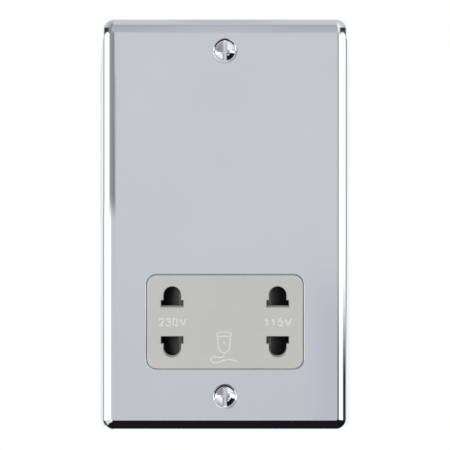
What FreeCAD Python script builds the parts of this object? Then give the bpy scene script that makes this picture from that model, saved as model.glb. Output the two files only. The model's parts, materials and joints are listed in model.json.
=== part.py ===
import FreeCAD
import Part

import math
import os

from FreeCAD import Vector

# Flush wall socket for shavers, with a transformer behind the blank upper half of its plate.
# Millimetres. X runs to the right, Y into the wall and Z up. The origin lies on the wall's surface,
# midway between the two fixing screws.

# Front plate: a pressed sheet shell with a rounded edge
PLATE_W = 88.0
PLATE_H = 147.0
SHEET = 1.0
SHOULDER_R = 5.0  # rounded edge between the face and the side wall
RIM_WALL = 2.0  # straight side wall behind the rounded edge
FACE_CORNER_R = 0.3  # what is left of the corner radius on the flat face
CUT_EDGE_R = 0.3  # rolled edge of the opening
STUD_R = 1.5
STUD_LENGTH = 4.6
STUD_Z = 30.0

# Fixing screws, raised countersunk and slotted
FIXING_MARGIN = 13.2  # from the end of the plate to the middle of a screw
SCREW_THREAD_R = 1.75
SCREW_NECK_R = 1.5
SCREW_HEAD_R = 3.4
SCREW_RIM = 0.15
SCREW_DOME = 0.85
SCREW_SLOT_W = 1.0
SCREW_SLOT_D = 1.0
SCREW_END_Y = 22.0
DIMPLE_R = 3.85  # where the seat's cone would meet the face
DIMPLE_EDGE_R = 1.3  # pressed edge round the seat
DIMPLE_HOLE_R = 2.0
SEAT_GAP = 0.05

# Grey insert with the pin apertures
INSERT_W = 54.4
INSERT_H = 32.6
INSERT_CORNER_R = 3.4
INSERT_EDGE_R = 0.3
INSERT_GAP = 0.2
FLANGE_LAP = 1.6
FLANGE_T = 1.2
OUTLET_MARGIN = 8.8  # from the side of the insert to the middle of an outlet

# One aperture, measured from the middle of its outlet: a bar for flat pins that opens into a dome
BAR_W = 7.9
BAR_NEAR = 5.0
BAR_FAR = 7.6
DOME_W = 6.2
DOME_TOP = 12.4
APERTURE_TAPER = 0.1
APERTURE_SILL = 0.5  # slope of the wall that faces up
APERTURE_EDGE_R = 0.35

# Shutter: one slide with a ramp behind each outlet
SLIDE_GAP = 0.3
SHUTTER_LAP = 0.55  # how far the ramp reaches past the bar, away from the middle
SHUTTER_CREST = 2.4  # from the middle of an outlet to the ridge of its ramp
SHUTTER_H = 26.4
SHUTTER_DEPTH = 9.5
SHUTTER_SKIN = 1.7
SHUTTER_TRAVEL = 7.8
SHUTTER_CREST_R = 0.7
RAMP_SPACE = 12.2  # between the inner walls of the two ramps
WEB_WINDOW_H = 11.0
SPRING_LENGTH = 14.0
SPRING_R = 1.5
SPRING_WIRE = 0.4
SPRING_TURNS = 8
POST_W = 1.6
POST_H = 3.2
LUG_T = 1.5
LUG_H = 5.0
FORK_Z = 8.3
FORK_H = 1.4
FORK_PRONG = 1.5
FORK_GAP = 0.45
FORK_REACH = 6.2  # past the back of the slide

# Contact carrier
CARRIER_FLOOR = 1.7
CARRIER_RAIL = 1.5
CARRIER_MARGIN = 0.9
CARRIER_LUG_H = 18.0
WELL_DEPTH = 10.2
WELL_WALL = 1.2
WELL_SIDE = 4.7
WELL_END_GAP = 0.6

# Contacts, folded from strip
STRIP = 0.5
CONTACT_BACK = 1.2  # from the back of the well to the back of the contact
CONTACT_HALF_W = 3.85
CONTACT_THROAT = 2.1
CONTACT_LIP = 3.6
CONTACT_END_GAP = 0.1
TAG_W = 3.0
TAG_REACH = 3.8
LINK_W = 1.5

# Housing
HOUSING_END_GAP = 7.1  # from the middle of a fixing screw to the housing
HOUSING_WALL = 1.5
LOWER_HALF_H = 19.0  # the compartment behind the insert, either side of its middle
FIT_GAP = 0.15
EAR_REACH = 5.5
EAR_H = 9.0
EAR_T = 2.0
NUT_FLATS = 5.5
NUT_T = 2.4
BOSS_R = 2.8
BOSS_INSET = 4.1
PILOT_R = 1.25
CLEAR_R = 1.6
EDGE_R = 1.2

# Rear cover, over the transformer
COVER_REAR_Y = 36.0
COVER_SCREW_R = 1.2
COVER_SCREW_LENGTH = 28.0
PAN_HEAD_R = 2.6
PAN_HEAD_T = 1.8
PANEL_INSET = 9.0
PANEL_DEPTH = 0.5
PANEL_CORNER_R = 3.0
PAN_SLOT_W = 0.8
PAN_SLOT_D = 0.9

# Terminal cover, over the contacts
TERMINAL_COVER_T = 2.0
TERMINAL_X = 10.0
TERMINAL_W = 7.0
TERMINAL_H = 9.4
TERMINAL_D = 9.0
TERMINAL_BORE_R = 1.6
TERMINAL_ROOF = 1.8  # over the wire hole
TERMINAL_TAIL_W = 3.0
TERMINAL_TAIL_T = 0.8
TERMINAL_TAIL_REACH = 4.7
TERMINAL_SCREW_R = 1.45
TERMINAL_SCREW_GAP = 0.05
POCKET_GAP = 0.2
POCKET_WALL = 1.8
WIRE_ENTRY_R = 2.1
SHORT_SCREW_LENGTH = 10.0
PILOT_SPARE = 1.0  # pilot hole past the end of a cover screw

# Earth terminal on the back of the plate
EARTH_X = -22.0
EARTH_DROP = 1.2  # below the level of the fixing screw
EARTH_W = 8.0
EARTH_RISE = 13.0
EARTH_BORE_BACK = 4.0  # from the back of the block to the middle of its wire hole

# Transformer
CORE_SIDE_GAP = 4.0
CORE_BELOW = 13.7
CORE_ABOVE = 8.2
CORE_STACK = 20.0
CORE_LEG = 18.0
CORE_WINDOW_W = 9.0
CORE_YOKE = 9.0
CORE_Y = 15.0
CORE_PAD = 4.0
CORE_PAD_Z = 9.0  # pads stand this far above and below the middle of the core
BOBBIN_GAP = 0.3
BOBBIN_WALL = 1.0
BOBBIN_FLANGE = 1.2
COIL_BUILD = 6.3
TAPE = 0.3
COIL_PIN_R = 0.6
COIL_PIN_LENGTH = 4.8
COIL_PIN_Y = 29.0
COIL_PIN_X = 10.0

# Switch that joins the primary when the slide is pushed either way
BLADE_T = 0.4
BLADE_W = 4.0
BLADE_GAP = 1.5  # behind the carrier's floor
BLADE_TAB = 4.2  # above the wall that holds it
BLADE_TIP = 7.5
ANVIL_X = 5.0
ANVIL_TIP = 11.5
ANVIL_BRIDGE = 2.0
RIVET_R = 1.2
RIVET_T = 0.7
RIVET_Z = 13.4

# Thermal cut-out
CUTOUT_X = -15.5
CUTOUT_W = 17.0
CUTOUT_D = 7.0
CUTOUT_H = 5.5
CUTOUT_FRONT_Y = 0.0
CUTOUT_LEG_X = 5.5
CUTOUT_EDGE_R = 0.8

# Insulated leads
LEAD_D = 1.8
LEAD_BEND = 2.6
LEAD_SPLIT_GAP = 4.0  # from the back of the lower compartment to its leads
LEAD_WALL_GAP = 2.0  # from the side wall to the middle of a lead
LEAD_UPPER_DROP = 2.2  # below the core: the common lead
LEAD_LOWER_DROP = 5.7  # below the core: the other leads
LEAD_OVER_PIN = 3.4
LEAD_COMMON_GAP = 2.1  # from the neutral lead to the common lead

# Levels along Y, from the face of the plate to the back of the lower compartment
FACE_Y = -(SHOULDER_R + RIM_WALL)
INNER_Y = FACE_Y + SHEET
FLANGE_BACK_Y = INNER_Y + FLANGE_T
SHUTTER_FRONT_Y = FLANGE_BACK_Y + SLIDE_GAP
SHUTTER_BACK_Y = SHUTTER_FRONT_Y + SHUTTER_DEPTH
FLOOR_Y = SHUTTER_BACK_Y + SLIDE_GAP
WELL_Y = FLOOR_Y + CARRIER_FLOOR
WELL_BACK_Y = WELL_Y + WELL_DEPTH
BLADE_Y = WELL_Y + BLADE_GAP
SPLIT_Y = WELL_BACK_Y + SLIDE_GAP
TERMINAL_FRONT_Y = SPLIT_Y + TERMINAL_COVER_T
LEAD_LOW_Y = SPLIT_Y - LEAD_SPLIT_GAP
COVER_INNER_Y = COVER_REAR_Y - HOUSING_WALL

# Levels along Z and half widths
FIXING_Z = PLATE_H / 2 - FIXING_MARGIN
HOUSING_TOP = FIXING_Z - HOUSING_END_GAP
LOWER_BOTTOM_Z = HOUSING_END_GAP - FIXING_Z
SOCKET_Z = LOWER_BOTTOM_Z + LOWER_HALF_H
LOWER_TOP_Z = SOCKET_Z + LOWER_HALF_H
OUTLET_X = INSERT_W / 2 - OUTLET_MARGIN
RAMP_FOOT = OUTLET_X + BAR_W / 2 + SHUTTER_LAP
RAMP_CREST = OUTLET_X - SHUTTER_CREST
INNER_HALF_W = RAMP_FOOT + SHUTTER_TRAVEL + SLIDE_GAP
HALF_W = INNER_HALF_W + HOUSING_WALL
LOWER_INNER_HALF_H = LOWER_HALF_H - HOUSING_WALL
FLANGE_HALF_W = INSERT_W / 2 + FLANGE_LAP
FLANGE_HALF_H = INSERT_H / 2 + FLANGE_LAP
CARRIER_HALF_W = OUTLET_X + WELL_SIDE + WELL_WALL + CARRIER_MARGIN
BOSS_X = HALF_W - BOSS_INSET
BOSS_HIGH_Z = HOUSING_TOP - BOSS_INSET
BOSS_LOW_Z = LOWER_TOP_Z + BOSS_INSET - HOUSING_WALL + FIT_GAP
SHORT_BOSS_Z = SOCKET_Z
EARTH_Z = -FIXING_Z - EARTH_DROP
STUD_X = HALF_W + EAR_REACH / 2
CORE_W = 2 * (INNER_HALF_W - CORE_SIDE_GAP)
CORE_LOW_Z = LOWER_TOP_Z + CORE_BELOW
CORE_H = HOUSING_TOP - HOUSING_WALL - CORE_ABOVE - CORE_LOW_Z
CORE_Z = CORE_LOW_Z + CORE_H / 2
CORE_WINDOW_H = CORE_H - 2 * CORE_YOKE
TERMINAL_Z = LOWER_BOTTOM_Z + POCKET_WALL + POCKET_GAP + TERMINAL_H / 2
TERMINAL_BLOCK_Y = TERMINAL_FRONT_Y + POCKET_WALL
TERMINAL_BACK_Y = TERMINAL_BLOCK_Y + TERMINAL_D
TERMINAL_BORE_Y = TERMINAL_BACK_Y - TERMINAL_BORE_R - TERMINAL_ROOF


def box(x0, x1, y0, y1, z0, z1):
    return Part.makeBox(x1 - x0, y1 - y0, z1 - z0, Vector(x0, y0, z0))


def rod(radius, y0, y1, x, z):
    return Part.makeCylinder(radius, y1 - y0, Vector(x, y0, z), Vector(0, 1, 0))


def cone(r0, r1, y0, y1, x, z):
    return Part.makeCone(r0, r1, y1 - y0, Vector(x, y0, z), Vector(0, 1, 0))


def one(shape):
    # A finished piece is a single solid with no seams left between joined faces
    solids = shape.removeSplitter().Solids
    if len(solids) != 1:
        raise ValueError("expected one solid, found %d" % len(solids))
    return solids[0]


def joined(shapes):
    return shapes[0].multiFuse(shapes[1:]) if len(shapes) > 1 else shapes[0]


def edges_where(shape, test):
    return [e for e in shape.Edges if all(test(v.Point) for v in e.Vertexes)]


def near(a, b):
    return abs(a - b) < 1e-4


def rounded_prism(width, height, radius, y0, y1, x=0.0, z=0.0):
    block = box(x - width / 2, x + width / 2, y0, y1, z - height / 2, z + height / 2)
    corners = [e for e in block.Edges if near(e.Length, y1 - y0) and near(e.Vertexes[0].X, e.Vertexes[1].X)
               and near(e.Vertexes[0].Z, e.Vertexes[1].Z)]
    return block.makeFillet(radius, corners)


def strip_prism(points, thickness, z0, z1):
    # A folded strip: a centre line in X and Y, given its thickness with mitred bends, then its width in Z
    sides = []
    for side in (1, -1):
        line = []
        for i, (x, y) in enumerate(points):
            before = points[max(i - 1, 0)]
            after = points[min(i + 1, len(points) - 1)]
            u = Vector(x - before[0], y - before[1], 0)
            v = Vector(after[0] - x, after[1] - y, 0)
            u = u if u.Length else v
            v = v if v.Length else u
            u, v = Vector(u).normalize(), Vector(v).normalize()
            across = Vector(-u.y - v.y, u.x + v.x, 0).normalize()
            reach = side * thickness / 2 / across.dot(Vector(-u.y, u.x, 0))
            line.append(Vector(x + across.x * reach, y + across.y * reach, z0))
        sides.append(line)
    outline = sides[0] + sides[1][::-1]
    return Part.Face(Part.makePolygon(outline + outline[:1])).extrude(Vector(0, 0, z1 - z0))


def pillow(width, height, depth, corner, shoulder):
    # A block whose front edge is rounded all the way round, with its back on the wall
    block = rounded_prism(width, height, corner, -depth, 0.0)
    return block.makeFillet(shoulder, edges_where(block, lambda p: near(p.y, -depth)))


def front_plate():
    corner = SHOULDER_R + FACE_CORNER_R
    shell = pillow(PLATE_W, PLATE_H, -FACE_Y, corner, SHOULDER_R)
    shell = shell.cut(pillow(PLATE_W - 2 * SHEET, PLATE_H - 2 * SHEET, -INNER_Y, corner - SHEET,
                             SHOULDER_R - SHEET))
    flank = SHEET * math.sqrt(2)
    dimple_end = FACE_Y + DIMPLE_R - DIMPLE_HOLE_R
    for z in (FIXING_Z, -FIXING_Z):
        shell = shell.fuse(cone(DIMPLE_R + flank, DIMPLE_HOLE_R + flank, FACE_Y, dimple_end, 0, z)
                           .common(box(-PLATE_W, PLATE_W, FACE_Y + SHEET / 2, 0, -PLATE_H, PLATE_H)))
        shell = shell.cut(cone(DIMPLE_R, DIMPLE_HOLE_R, FACE_Y, dimple_end, 0, z))
        shell = shell.cut(rod(DIMPLE_HOLE_R, FACE_Y, dimple_end, 0, z))
    opening = rounded_prism(INSERT_W + 2 * INSERT_GAP, INSERT_H + 2 * INSERT_GAP,
                            INSERT_CORNER_R + INSERT_GAP, FACE_Y - SHEET, INNER_Y + SHEET, 0, SOCKET_Z)
    shell = one(shell.cut(opening))
    shell = shell.makeFillet(CUT_EDGE_R, edges_where(shell, lambda p: near(p.y, FACE_Y) and abs(
        p.z - SOCKET_Z) < INSERT_H / 2 + SHEET and abs(p.x) < INSERT_W / 2 + SHEET))
    shell = shell.makeFillet(DIMPLE_EDGE_R, edges_where(shell, lambda p: near(p.y, FACE_Y) and near(
        math.hypot(p.x, abs(p.z) - FIXING_Z), DIMPLE_R)))
    studs = [rod(STUD_R, INNER_Y, INNER_Y + STUD_LENGTH, x, z)
             for x in (STUD_X, -STUD_X) for z in (STUD_Z, -STUD_Z)]
    return one(shell.multiFuse(studs))


def aperture_wire(outlet_x, way, inset, sill, y):
    # Outline of one aperture, smaller by the inset all round and by the sill at its lower end;
    # way is 1 for the upper aperture and -1 for the lower one
    bar, dome = BAR_W / 2 - inset, DOME_W / 2 - inset
    low, high = BAR_NEAR + inset, BAR_FAR - inset
    spring_line = DOME_TOP - DOME_W / 2
    if way > 0:
        low += sill
    else:
        spring_line -= sill

    def at(u, w):
        return Vector(outlet_x + u, y, SOCKET_Z + way * w)

    corners = [at(-dome, spring_line), at(-dome, high), at(-bar, high), at(-bar, low),
               at(bar, low), at(bar, high), at(dome, high), at(dome, spring_line)]
    edges = [Part.LineSegment(a, b).toShape() for a, b in zip(corners, corners[1:])]
    edges.append(Part.Arc(corners[-1], at(0, spring_line + dome), corners[0]).toShape())
    return Part.Wire(edges)


def apertures():
    return [(x, way) for x in (-OUTLET_X, OUTLET_X) for way in (1, -1)]


def socket_insert():
    face = rounded_prism(INSERT_W, INSERT_H, INSERT_CORNER_R, FACE_Y, FLANGE_BACK_Y, 0, SOCKET_Z)
    face = face.makeFillet(INSERT_EDGE_R, edges_where(face, lambda p: near(p.y, FACE_Y)))
    flange = rounded_prism(2 * FLANGE_HALF_W, 2 * FLANGE_HALF_H, INSERT_CORNER_R + FLANGE_LAP,
                           INNER_Y, FLANGE_BACK_Y, 0, SOCKET_Z)
    insert = face.fuse(flange)
    for x, way in apertures():
        back = aperture_wire(x, way, APERTURE_TAPER, APERTURE_SILL, FLANGE_BACK_Y)
        insert = insert.cut(Part.makeLoft([aperture_wire(x, way, 0, 0, FACE_Y), back], True, True))
    insert = one(insert)
    rims = edges_where(insert, lambda p: near(p.y, FACE_Y) and abs(p.x) < OUTLET_X + BAR_W / 2 + SEAT_GAP
                       and abs(p.z - SOCKET_Z) < DOME_TOP + SEAT_GAP)
    return insert.makeFillet(APERTURE_EDGE_R, rims)


def fixing_screws():
    # Two separate screws, seated in the plate's dimples
    rim_y = FACE_Y + DIMPLE_R - SCREW_HEAD_R - SEAT_GAP
    neck_y = rim_y + SCREW_HEAD_R - SCREW_NECK_R
    ball_r = (SCREW_HEAD_R ** 2 + SCREW_DOME ** 2) / (2 * SCREW_DOME)
    screws = []
    for z in (FIXING_Z, -FIXING_Z):
        top_y = rim_y - SCREW_RIM - SCREW_DOME
        dome = Part.makeSphere(ball_r, Vector(0, top_y + ball_r, z)).common(
            rod(SCREW_HEAD_R, top_y, rim_y, 0, z))
        head = dome.fuse(cone(SCREW_HEAD_R, SCREW_NECK_R, rim_y, neck_y, 0, z))
        slot = box(-SCREW_SLOT_W / 2, SCREW_SLOT_W / 2, top_y, top_y + SCREW_SLOT_D,
                   z - SCREW_HEAD_R, z + SCREW_HEAD_R)
        thread_y = -SEAT_GAP
        shank = rod(SCREW_NECK_R, neck_y, thread_y, 0, z)
        shank = shank.fuse(rod(SCREW_THREAD_R, thread_y, SCREW_END_Y, 0, z))
        shank = shank.makeChamfer(SCREW_THREAD_R - SCREW_NECK_R,
                                  edges_where(shank, lambda p: near(p.y, SCREW_END_Y)))
        screws.append(one(head.cut(slot).fuse(shank)))
    return Part.makeCompound(screws)


def shutter_slide():
    foot, crest = RAMP_FOOT, RAMP_CREST
    inner = RAMP_SPACE / 2
    slope = SHUTTER_DEPTH / (foot - crest)
    shift = SHUTTER_SKIN * math.hypot(1, slope) / slope
    skin_y = SHUTTER_FRONT_Y + SHUTTER_SKIN
    low, high = SOCKET_Z - SHUTTER_H / 2, SOCKET_Z + SHUTTER_H / 2
    pieces = []
    for way in (1, -1):
        def prism(points, z0, z1):
            outline = [Vector(way * x, y, z0) for x, y in points]
            return Part.Face(Part.makePolygon(outline + outline[:1])).extrude(Vector(0, 0, z1 - z0))

        ramp = prism([(foot, SHUTTER_BACK_Y), (crest, SHUTTER_FRONT_Y), (inner, SHUTTER_FRONT_Y),
                      (inner, SHUTTER_BACK_Y)], low, high)
        ridge = edges_where(ramp, lambda p: near(p.x, way * crest) and near(p.y, SHUTTER_FRONT_Y))
        ramp = ramp.makeFillet(SHUTTER_CREST_R, ridge)
        core_crest = foot - shift - (SHUTTER_BACK_Y - skin_y) / slope
        core = prism([(foot - shift, SHUTTER_BACK_Y), (core_crest, skin_y), (inner + SHUTTER_SKIN, skin_y),
                      (inner + SHUTTER_SKIN, SHUTTER_BACK_Y)], low + SHUTTER_SKIN, high - SHUTTER_SKIN)
        gate_half = POST_H / 2 + SLIDE_GAP
        gate = prism([(inner, post_tip_y() - SLIDE_GAP), (inner + SHUTTER_SKIN, post_tip_y() - SLIDE_GAP),
                      (inner + SHUTTER_SKIN, SHUTTER_BACK_Y), (inner, SHUTTER_BACK_Y)],
                     SOCKET_Z - gate_half, SOCKET_Z + gate_half)
        pieces.append(ramp.cut(core).cut(gate))
        # The lug that the spring pushes on stands on the inside of the slope
        lug = prism([(lug_x(), skin_y), (lug_x() + LUG_T, skin_y), (lug_x() + LUG_T, SHUTTER_BACK_Y),
                     (lug_x(), SHUTTER_BACK_Y)], SOCKET_Z - LUG_H / 2, SOCKET_Z + LUG_H / 2)
        pieces.append(lug.common(core))
        web_z = SOCKET_Z + way * WEB_WINDOW_H / 2
        edge_z = SOCKET_Z + way * SHUTTER_H / 2
        pieces.append(box(-inner, inner, SHUTTER_FRONT_Y, skin_y, min(web_z, edge_z), max(web_z, edge_z)))
    fork_half = BLADE_T / 2 + FORK_GAP + FORK_PRONG
    fork = box(-fork_half, fork_half, skin_y, SHUTTER_BACK_Y + FORK_REACH,
               SOCKET_Z + FORK_Z - FORK_H / 2, SOCKET_Z + FORK_Z + FORK_H / 2)
    mouth = box(-fork_half + FORK_PRONG, fork_half - FORK_PRONG, SHUTTER_BACK_Y, SHUTTER_BACK_Y + FORK_REACH,
                SOCKET_Z + FORK_Z - FORK_H, SOCKET_Z + FORK_Z + FORK_H)
    return one(joined(pieces + [fork.cut(mouth)]))


def spring_y():
    return SHUTTER_BACK_Y - SPRING_R - SLIDE_GAP


def post_tip_y():
    return spring_y() - SPRING_R - SLIDE_GAP


def lug_x():
    return POST_W / 2 + SPRING_LENGTH


def shutter_spring(way):
    # Compression spring from the carrier's post to the slide's lug; the pair centres the slide
    length = SPRING_LENGTH - SPRING_WIRE - 2 * SEAT_GAP
    coil_r = SPRING_R - SPRING_WIRE / 2
    helix = Part.makeHelix(length / SPRING_TURNS, length, coil_r)
    half = SPRING_WIRE / 2
    corners = ((-1, -1), (1, -1), (1, 1), (-1, 1), (-1, -1))
    square = [Vector(coil_r + u * half, 0, v * half) for u, v in corners]
    coil = Part.Wire(helix.Edges).makePipeShell([Part.makePolygon(square)], True, True)
    coil.rotate(Vector(0, 0, 0), Vector(0, 1, 0), 90)
    middle = way * (POST_W + SPRING_LENGTH) / 2
    coil.translate(Vector(middle - length / 2, spring_y(), SOCKET_Z))
    return one(coil)


def shutter_spring_left():
    return shutter_spring(-1)


def shutter_spring_right():
    return shutter_spring(1)


def wells():
    # Inside corners of the four contact wells: x0, x1, z0, z1
    near_z, far_z = BAR_NEAR - WELL_END_GAP, DOME_TOP + WELL_END_GAP
    found = []
    for x, way in apertures():
        ends = sorted((SOCKET_Z + way * near_z, SOCKET_Z + way * far_z))
        found.append((x - WELL_SIDE, x + WELL_SIDE, ends[0], ends[1]))
    return found


def contact_carrier():
    half_h = LOWER_INNER_HALF_H - FIT_GAP
    lug_half = INNER_HALF_W - FIT_GAP
    floor = [box(-CARRIER_HALF_W, CARRIER_HALF_W, FLOOR_Y, WELL_Y, SOCKET_Z - half_h, SOCKET_Z + half_h),
             box(-lug_half, lug_half, FLOOR_Y, WELL_Y, SOCKET_Z - CARRIER_LUG_H / 2,
                 SOCKET_Z + CARRIER_LUG_H / 2)]
    rails = []
    for way in (1, -1):
        z0 = SOCKET_Z + way * (SHUTTER_H / 2 + SLIDE_GAP)
        z1 = z0 + way * CARRIER_RAIL
        rails.append(box(-CARRIER_HALF_W, CARRIER_HALF_W, FLANGE_BACK_Y, FLOOR_Y, min(z0, z1), max(z0, z1)))
    walls = [box(x0 - WELL_WALL, x1 + WELL_WALL, WELL_Y, WELL_BACK_Y, z0 - WELL_WALL, z1 + WELL_WALL)
             for x0, x1, z0, z1 in wells()]
    post = box(-POST_W / 2, POST_W / 2, post_tip_y(), FLOOR_Y, SOCKET_Z - POST_H / 2, SOCKET_Z + POST_H / 2)
    carrier = joined(floor + rails + walls + [post])
    for x0, x1, z0, z1 in wells():
        carrier = carrier.cut(box(x0, x1, WELL_Y, WELL_BACK_Y, z0, z1))
    for x, way in apertures():
        carrier = carrier.cut(Part.Face(aperture_wire(x, way, -SLIDE_GAP, 0, FLOOR_Y)).extrude(
            Vector(0, CARRIER_FLOOR, 0)))
        notch_half = TAG_W / 2 + FIT_GAP
        z0 = SOCKET_Z + way * (DOME_TOP + WELL_END_GAP)
        z1 = z0 + way * WELL_WALL
        carrier = carrier.cut(box(x - notch_half, x + notch_half,
                                  WELL_BACK_Y - CONTACT_BACK - STRIP - FIT_GAP, WELL_BACK_Y,
                                  min(z0, z1), max(z0, z1)))
    fork_half = BLADE_T / 2 + FORK_GAP + FORK_PRONG + SHUTTER_TRAVEL + SLIDE_GAP
    carrier = carrier.cut(box(-fork_half, fork_half, FLOOR_Y, WELL_Y,
                              SOCKET_Z + FORK_Z - FORK_H / 2 - SLIDE_GAP,
                              SOCKET_Z + FORK_Z + FORK_H / 2 + SLIDE_GAP))
    notch = BOSS_R + FIT_GAP
    for way in (1, -1):
        ends = sorted((way * (BOSS_X - notch), way * INNER_HALF_W))
        carrier = carrier.cut(box(ends[0], ends[1], FLOOR_Y, WELL_Y, SHORT_BOSS_Z - notch,
                                  SHORT_BOSS_Z + notch))
    return one(carrier)


def contact_clip(x, way):
    # A folded strip that grips a pin from both sides, with a tag for its lead
    back = WELL_BACK_Y - CONTACT_BACK - STRIP / 2
    throat = WELL_Y + (back - WELL_Y) / 3
    lip = WELL_Y + STRIP
    line = [(x - CONTACT_LIP, lip), (x - CONTACT_THROAT, throat), (x - CONTACT_HALF_W, back),
            (x + CONTACT_HALF_W, back), (x + CONTACT_THROAT, throat), (x + CONTACT_LIP, lip)]
    near_z, far_z = BAR_NEAR + CONTACT_END_GAP, DOME_TOP - CONTACT_END_GAP
    ends = sorted((SOCKET_Z + way * near_z, SOCKET_Z + way * far_z))
    clip = strip_prism(line, STRIP, ends[0], ends[1])
    tag_ends = sorted((SOCKET_Z + way * (far_z - STRIP), SOCKET_Z + way * (far_z + TAG_REACH)))
    tag = box(x - TAG_W / 2, x + TAG_W / 2, back - STRIP / 2, back + STRIP / 2, tag_ends[0], tag_ends[1])
    return clip.fuse(tag)


def contact_230():
    return one(contact_clip(-OUTLET_X, 1))


def contact_115():
    return one(contact_clip(OUTLET_X, 1))


def contact_common():
    # Both lower clips and the strip that links them are one pressing
    back = WELL_BACK_Y - CONTACT_BACK
    edge_z = SOCKET_Z - (DOME_TOP - CONTACT_END_GAP + TAG_REACH)
    link = box(-OUTLET_X, OUTLET_X, back - STRIP, back, edge_z, edge_z + LINK_W)
    return one(joined([contact_clip(-OUTLET_X, -1), contact_clip(OUTLET_X, -1), link]))


def bosses():
    return [(x, z) for x in (BOSS_X, -BOSS_X) for z in (BOSS_HIGH_Z, BOSS_LOW_Z)]


def core_pads():
    x = (CORE_W / 2 + CORE_LEG / 2 + CORE_WINDOW_W) / 2
    return [(way * x, CORE_Z + step) for way in (1, -1) for step in (CORE_PAD_Z, -CORE_PAD_Z)]


def front_housing():
    shell = box(-HALF_W, HALF_W, INNER_Y, SPLIT_Y, LOWER_BOTTOM_Z, HOUSING_TOP)
    shell = shell.makeFillet(EDGE_R, [e for e in shell.Edges if near(e.Length, SPLIT_Y - INNER_Y)])
    inside_y = INNER_Y + HOUSING_WALL
    shell = shell.cut(box(-INNER_HALF_W, INNER_HALF_W, inside_y, SPLIT_Y, LOWER_TOP_Z,
                          HOUSING_TOP - HOUSING_WALL))
    shell = shell.cut(box(-INNER_HALF_W, INNER_HALF_W, inside_y, SPLIT_Y, SOCKET_Z - LOWER_INNER_HALF_H,
                          SOCKET_Z + LOWER_INNER_HALF_H))
    shell = shell.cut(rounded_prism(2 * (FLANGE_HALF_W + FIT_GAP), 2 * (FLANGE_HALF_H + FIT_GAP),
                                    INSERT_CORNER_R + FLANGE_LAP + FIT_GAP, INNER_Y, inside_y, 0, SOCKET_Z))
    added = [rod(BOSS_R, inside_y, SPLIT_Y, x, z) for x, z in bosses()]
    added += [box(x - CORE_PAD / 2, x + CORE_PAD / 2, inside_y, CORE_Y - CORE_STACK / 2, z - CORE_PAD / 2,
                  z + CORE_PAD / 2) for x, z in core_pads()]
    short_boss_y = WELL_Y + SLIDE_GAP
    for way in (1, -1):
        added.append(rod(BOSS_R, short_boss_y, SPLIT_Y, way * BOSS_X, SHORT_BOSS_Z))
        ends = sorted((way * HALF_W, way * (HALF_W + EAR_REACH)))
        for z in (STUD_Z, -STUD_Z):
            added.append(box(ends[0], ends[1], INNER_Y, INNER_Y + EAR_T, z - EAR_H / 2, z + EAR_H / 2))
    shell = shell.multiFuse(added)
    shell = shell.cut(joined([rod(STUD_R + FIT_GAP, INNER_Y, INNER_Y + EAR_T, x, z)
                              for x in (STUD_X, -STUD_X) for z in (STUD_Z, -STUD_Z)]))
    drilled = [(x, z, COVER_SCREW_LENGTH - (COVER_REAR_Y - SPLIT_Y) + PILOT_SPARE) for x, z in bosses()]
    drilled += [(x, SHORT_BOSS_Z, SPLIT_Y - short_boss_y) for x in (BOSS_X, -BOSS_X)]
    for x, z, depth in drilled:
        shell = shell.cut(rod(PILOT_R, SPLIT_Y - depth, SPLIT_Y, x, z))
    # Slots that hold the switch blades, and windows beside them for the leads
    wall = (LOWER_TOP_Z - HOUSING_WALL, LOWER_TOP_Z)
    for x, thickness in ((0, BLADE_T), (ANVIL_X, STRIP), (-ANVIL_X, STRIP)):
        half = thickness / 2 + FIT_GAP
        shell = shell.cut(box(x - half, x + half, BLADE_Y - FIT_GAP, BLADE_Y + BLADE_W + FIT_GAP,
                              wall[0], wall[1]))
    for way in (1, -1):
        ends = sorted((way * (ANVIL_X + POCKET_WALL), way * (BOSS_X - BOSS_R - POCKET_WALL)))
        shell = shell.cut(box(ends[0], ends[1], LEAD_LOW_Y - LEAD_D * 2, LEAD_LOW_Y + LEAD_D,
                              wall[0], wall[1]))
    return one(shell)


def plate_nuts():
    # Hexagon nuts on the plate's studs
    nuts = []
    back = INNER_Y + EAR_T
    corner_r = NUT_FLATS / math.sqrt(3)
    turns = [math.radians(60 * i + 30) for i in range(6)]
    for x in (STUD_X, -STUD_X):
        for z in (STUD_Z, -STUD_Z):
            points = [Vector(x + corner_r * math.cos(t), back, z + corner_r * math.sin(t)) for t in turns]
            nut = Part.Face(Part.makePolygon(points + points[:1])).extrude(Vector(0, NUT_T, 0))
            nuts.append(one(nut.cut(rod(STUD_R + SEAT_GAP, back, back + NUT_T, x, z))))
    return Part.makeCompound(nuts)


def pan_screw(x, z, seat_y, length):
    head = rod(PAN_HEAD_R, seat_y, seat_y + PAN_HEAD_T, x, z)
    head = head.makeFillet(PAN_HEAD_T / 2, edges_where(head, lambda p: near(p.y, seat_y + PAN_HEAD_T)))
    slot_y = seat_y + PAN_HEAD_T - PAN_SLOT_D
    head = head.cut(box(x - PAN_HEAD_R, x + PAN_HEAD_R, slot_y, seat_y + PAN_HEAD_T, z - PAN_SLOT_W / 2,
                        z + PAN_SLOT_W / 2))
    point = COVER_SCREW_R
    shank = rod(COVER_SCREW_R, seat_y - length + point, seat_y, x, z)
    return one(joined([head, shank, cone(COVER_SCREW_R / 3, COVER_SCREW_R, seat_y - length,
                                         seat_y - length + point, x, z)]))


def cover_screws():
    return Part.makeCompound([pan_screw(x, z, COVER_REAR_Y, COVER_SCREW_LENGTH) for x, z in bosses()])


def terminal_cover_screws():
    return Part.makeCompound([pan_screw(x, SHORT_BOSS_Z, TERMINAL_FRONT_Y, SHORT_SCREW_LENGTH)
                              for x in (BOSS_X, -BOSS_X)])


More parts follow.
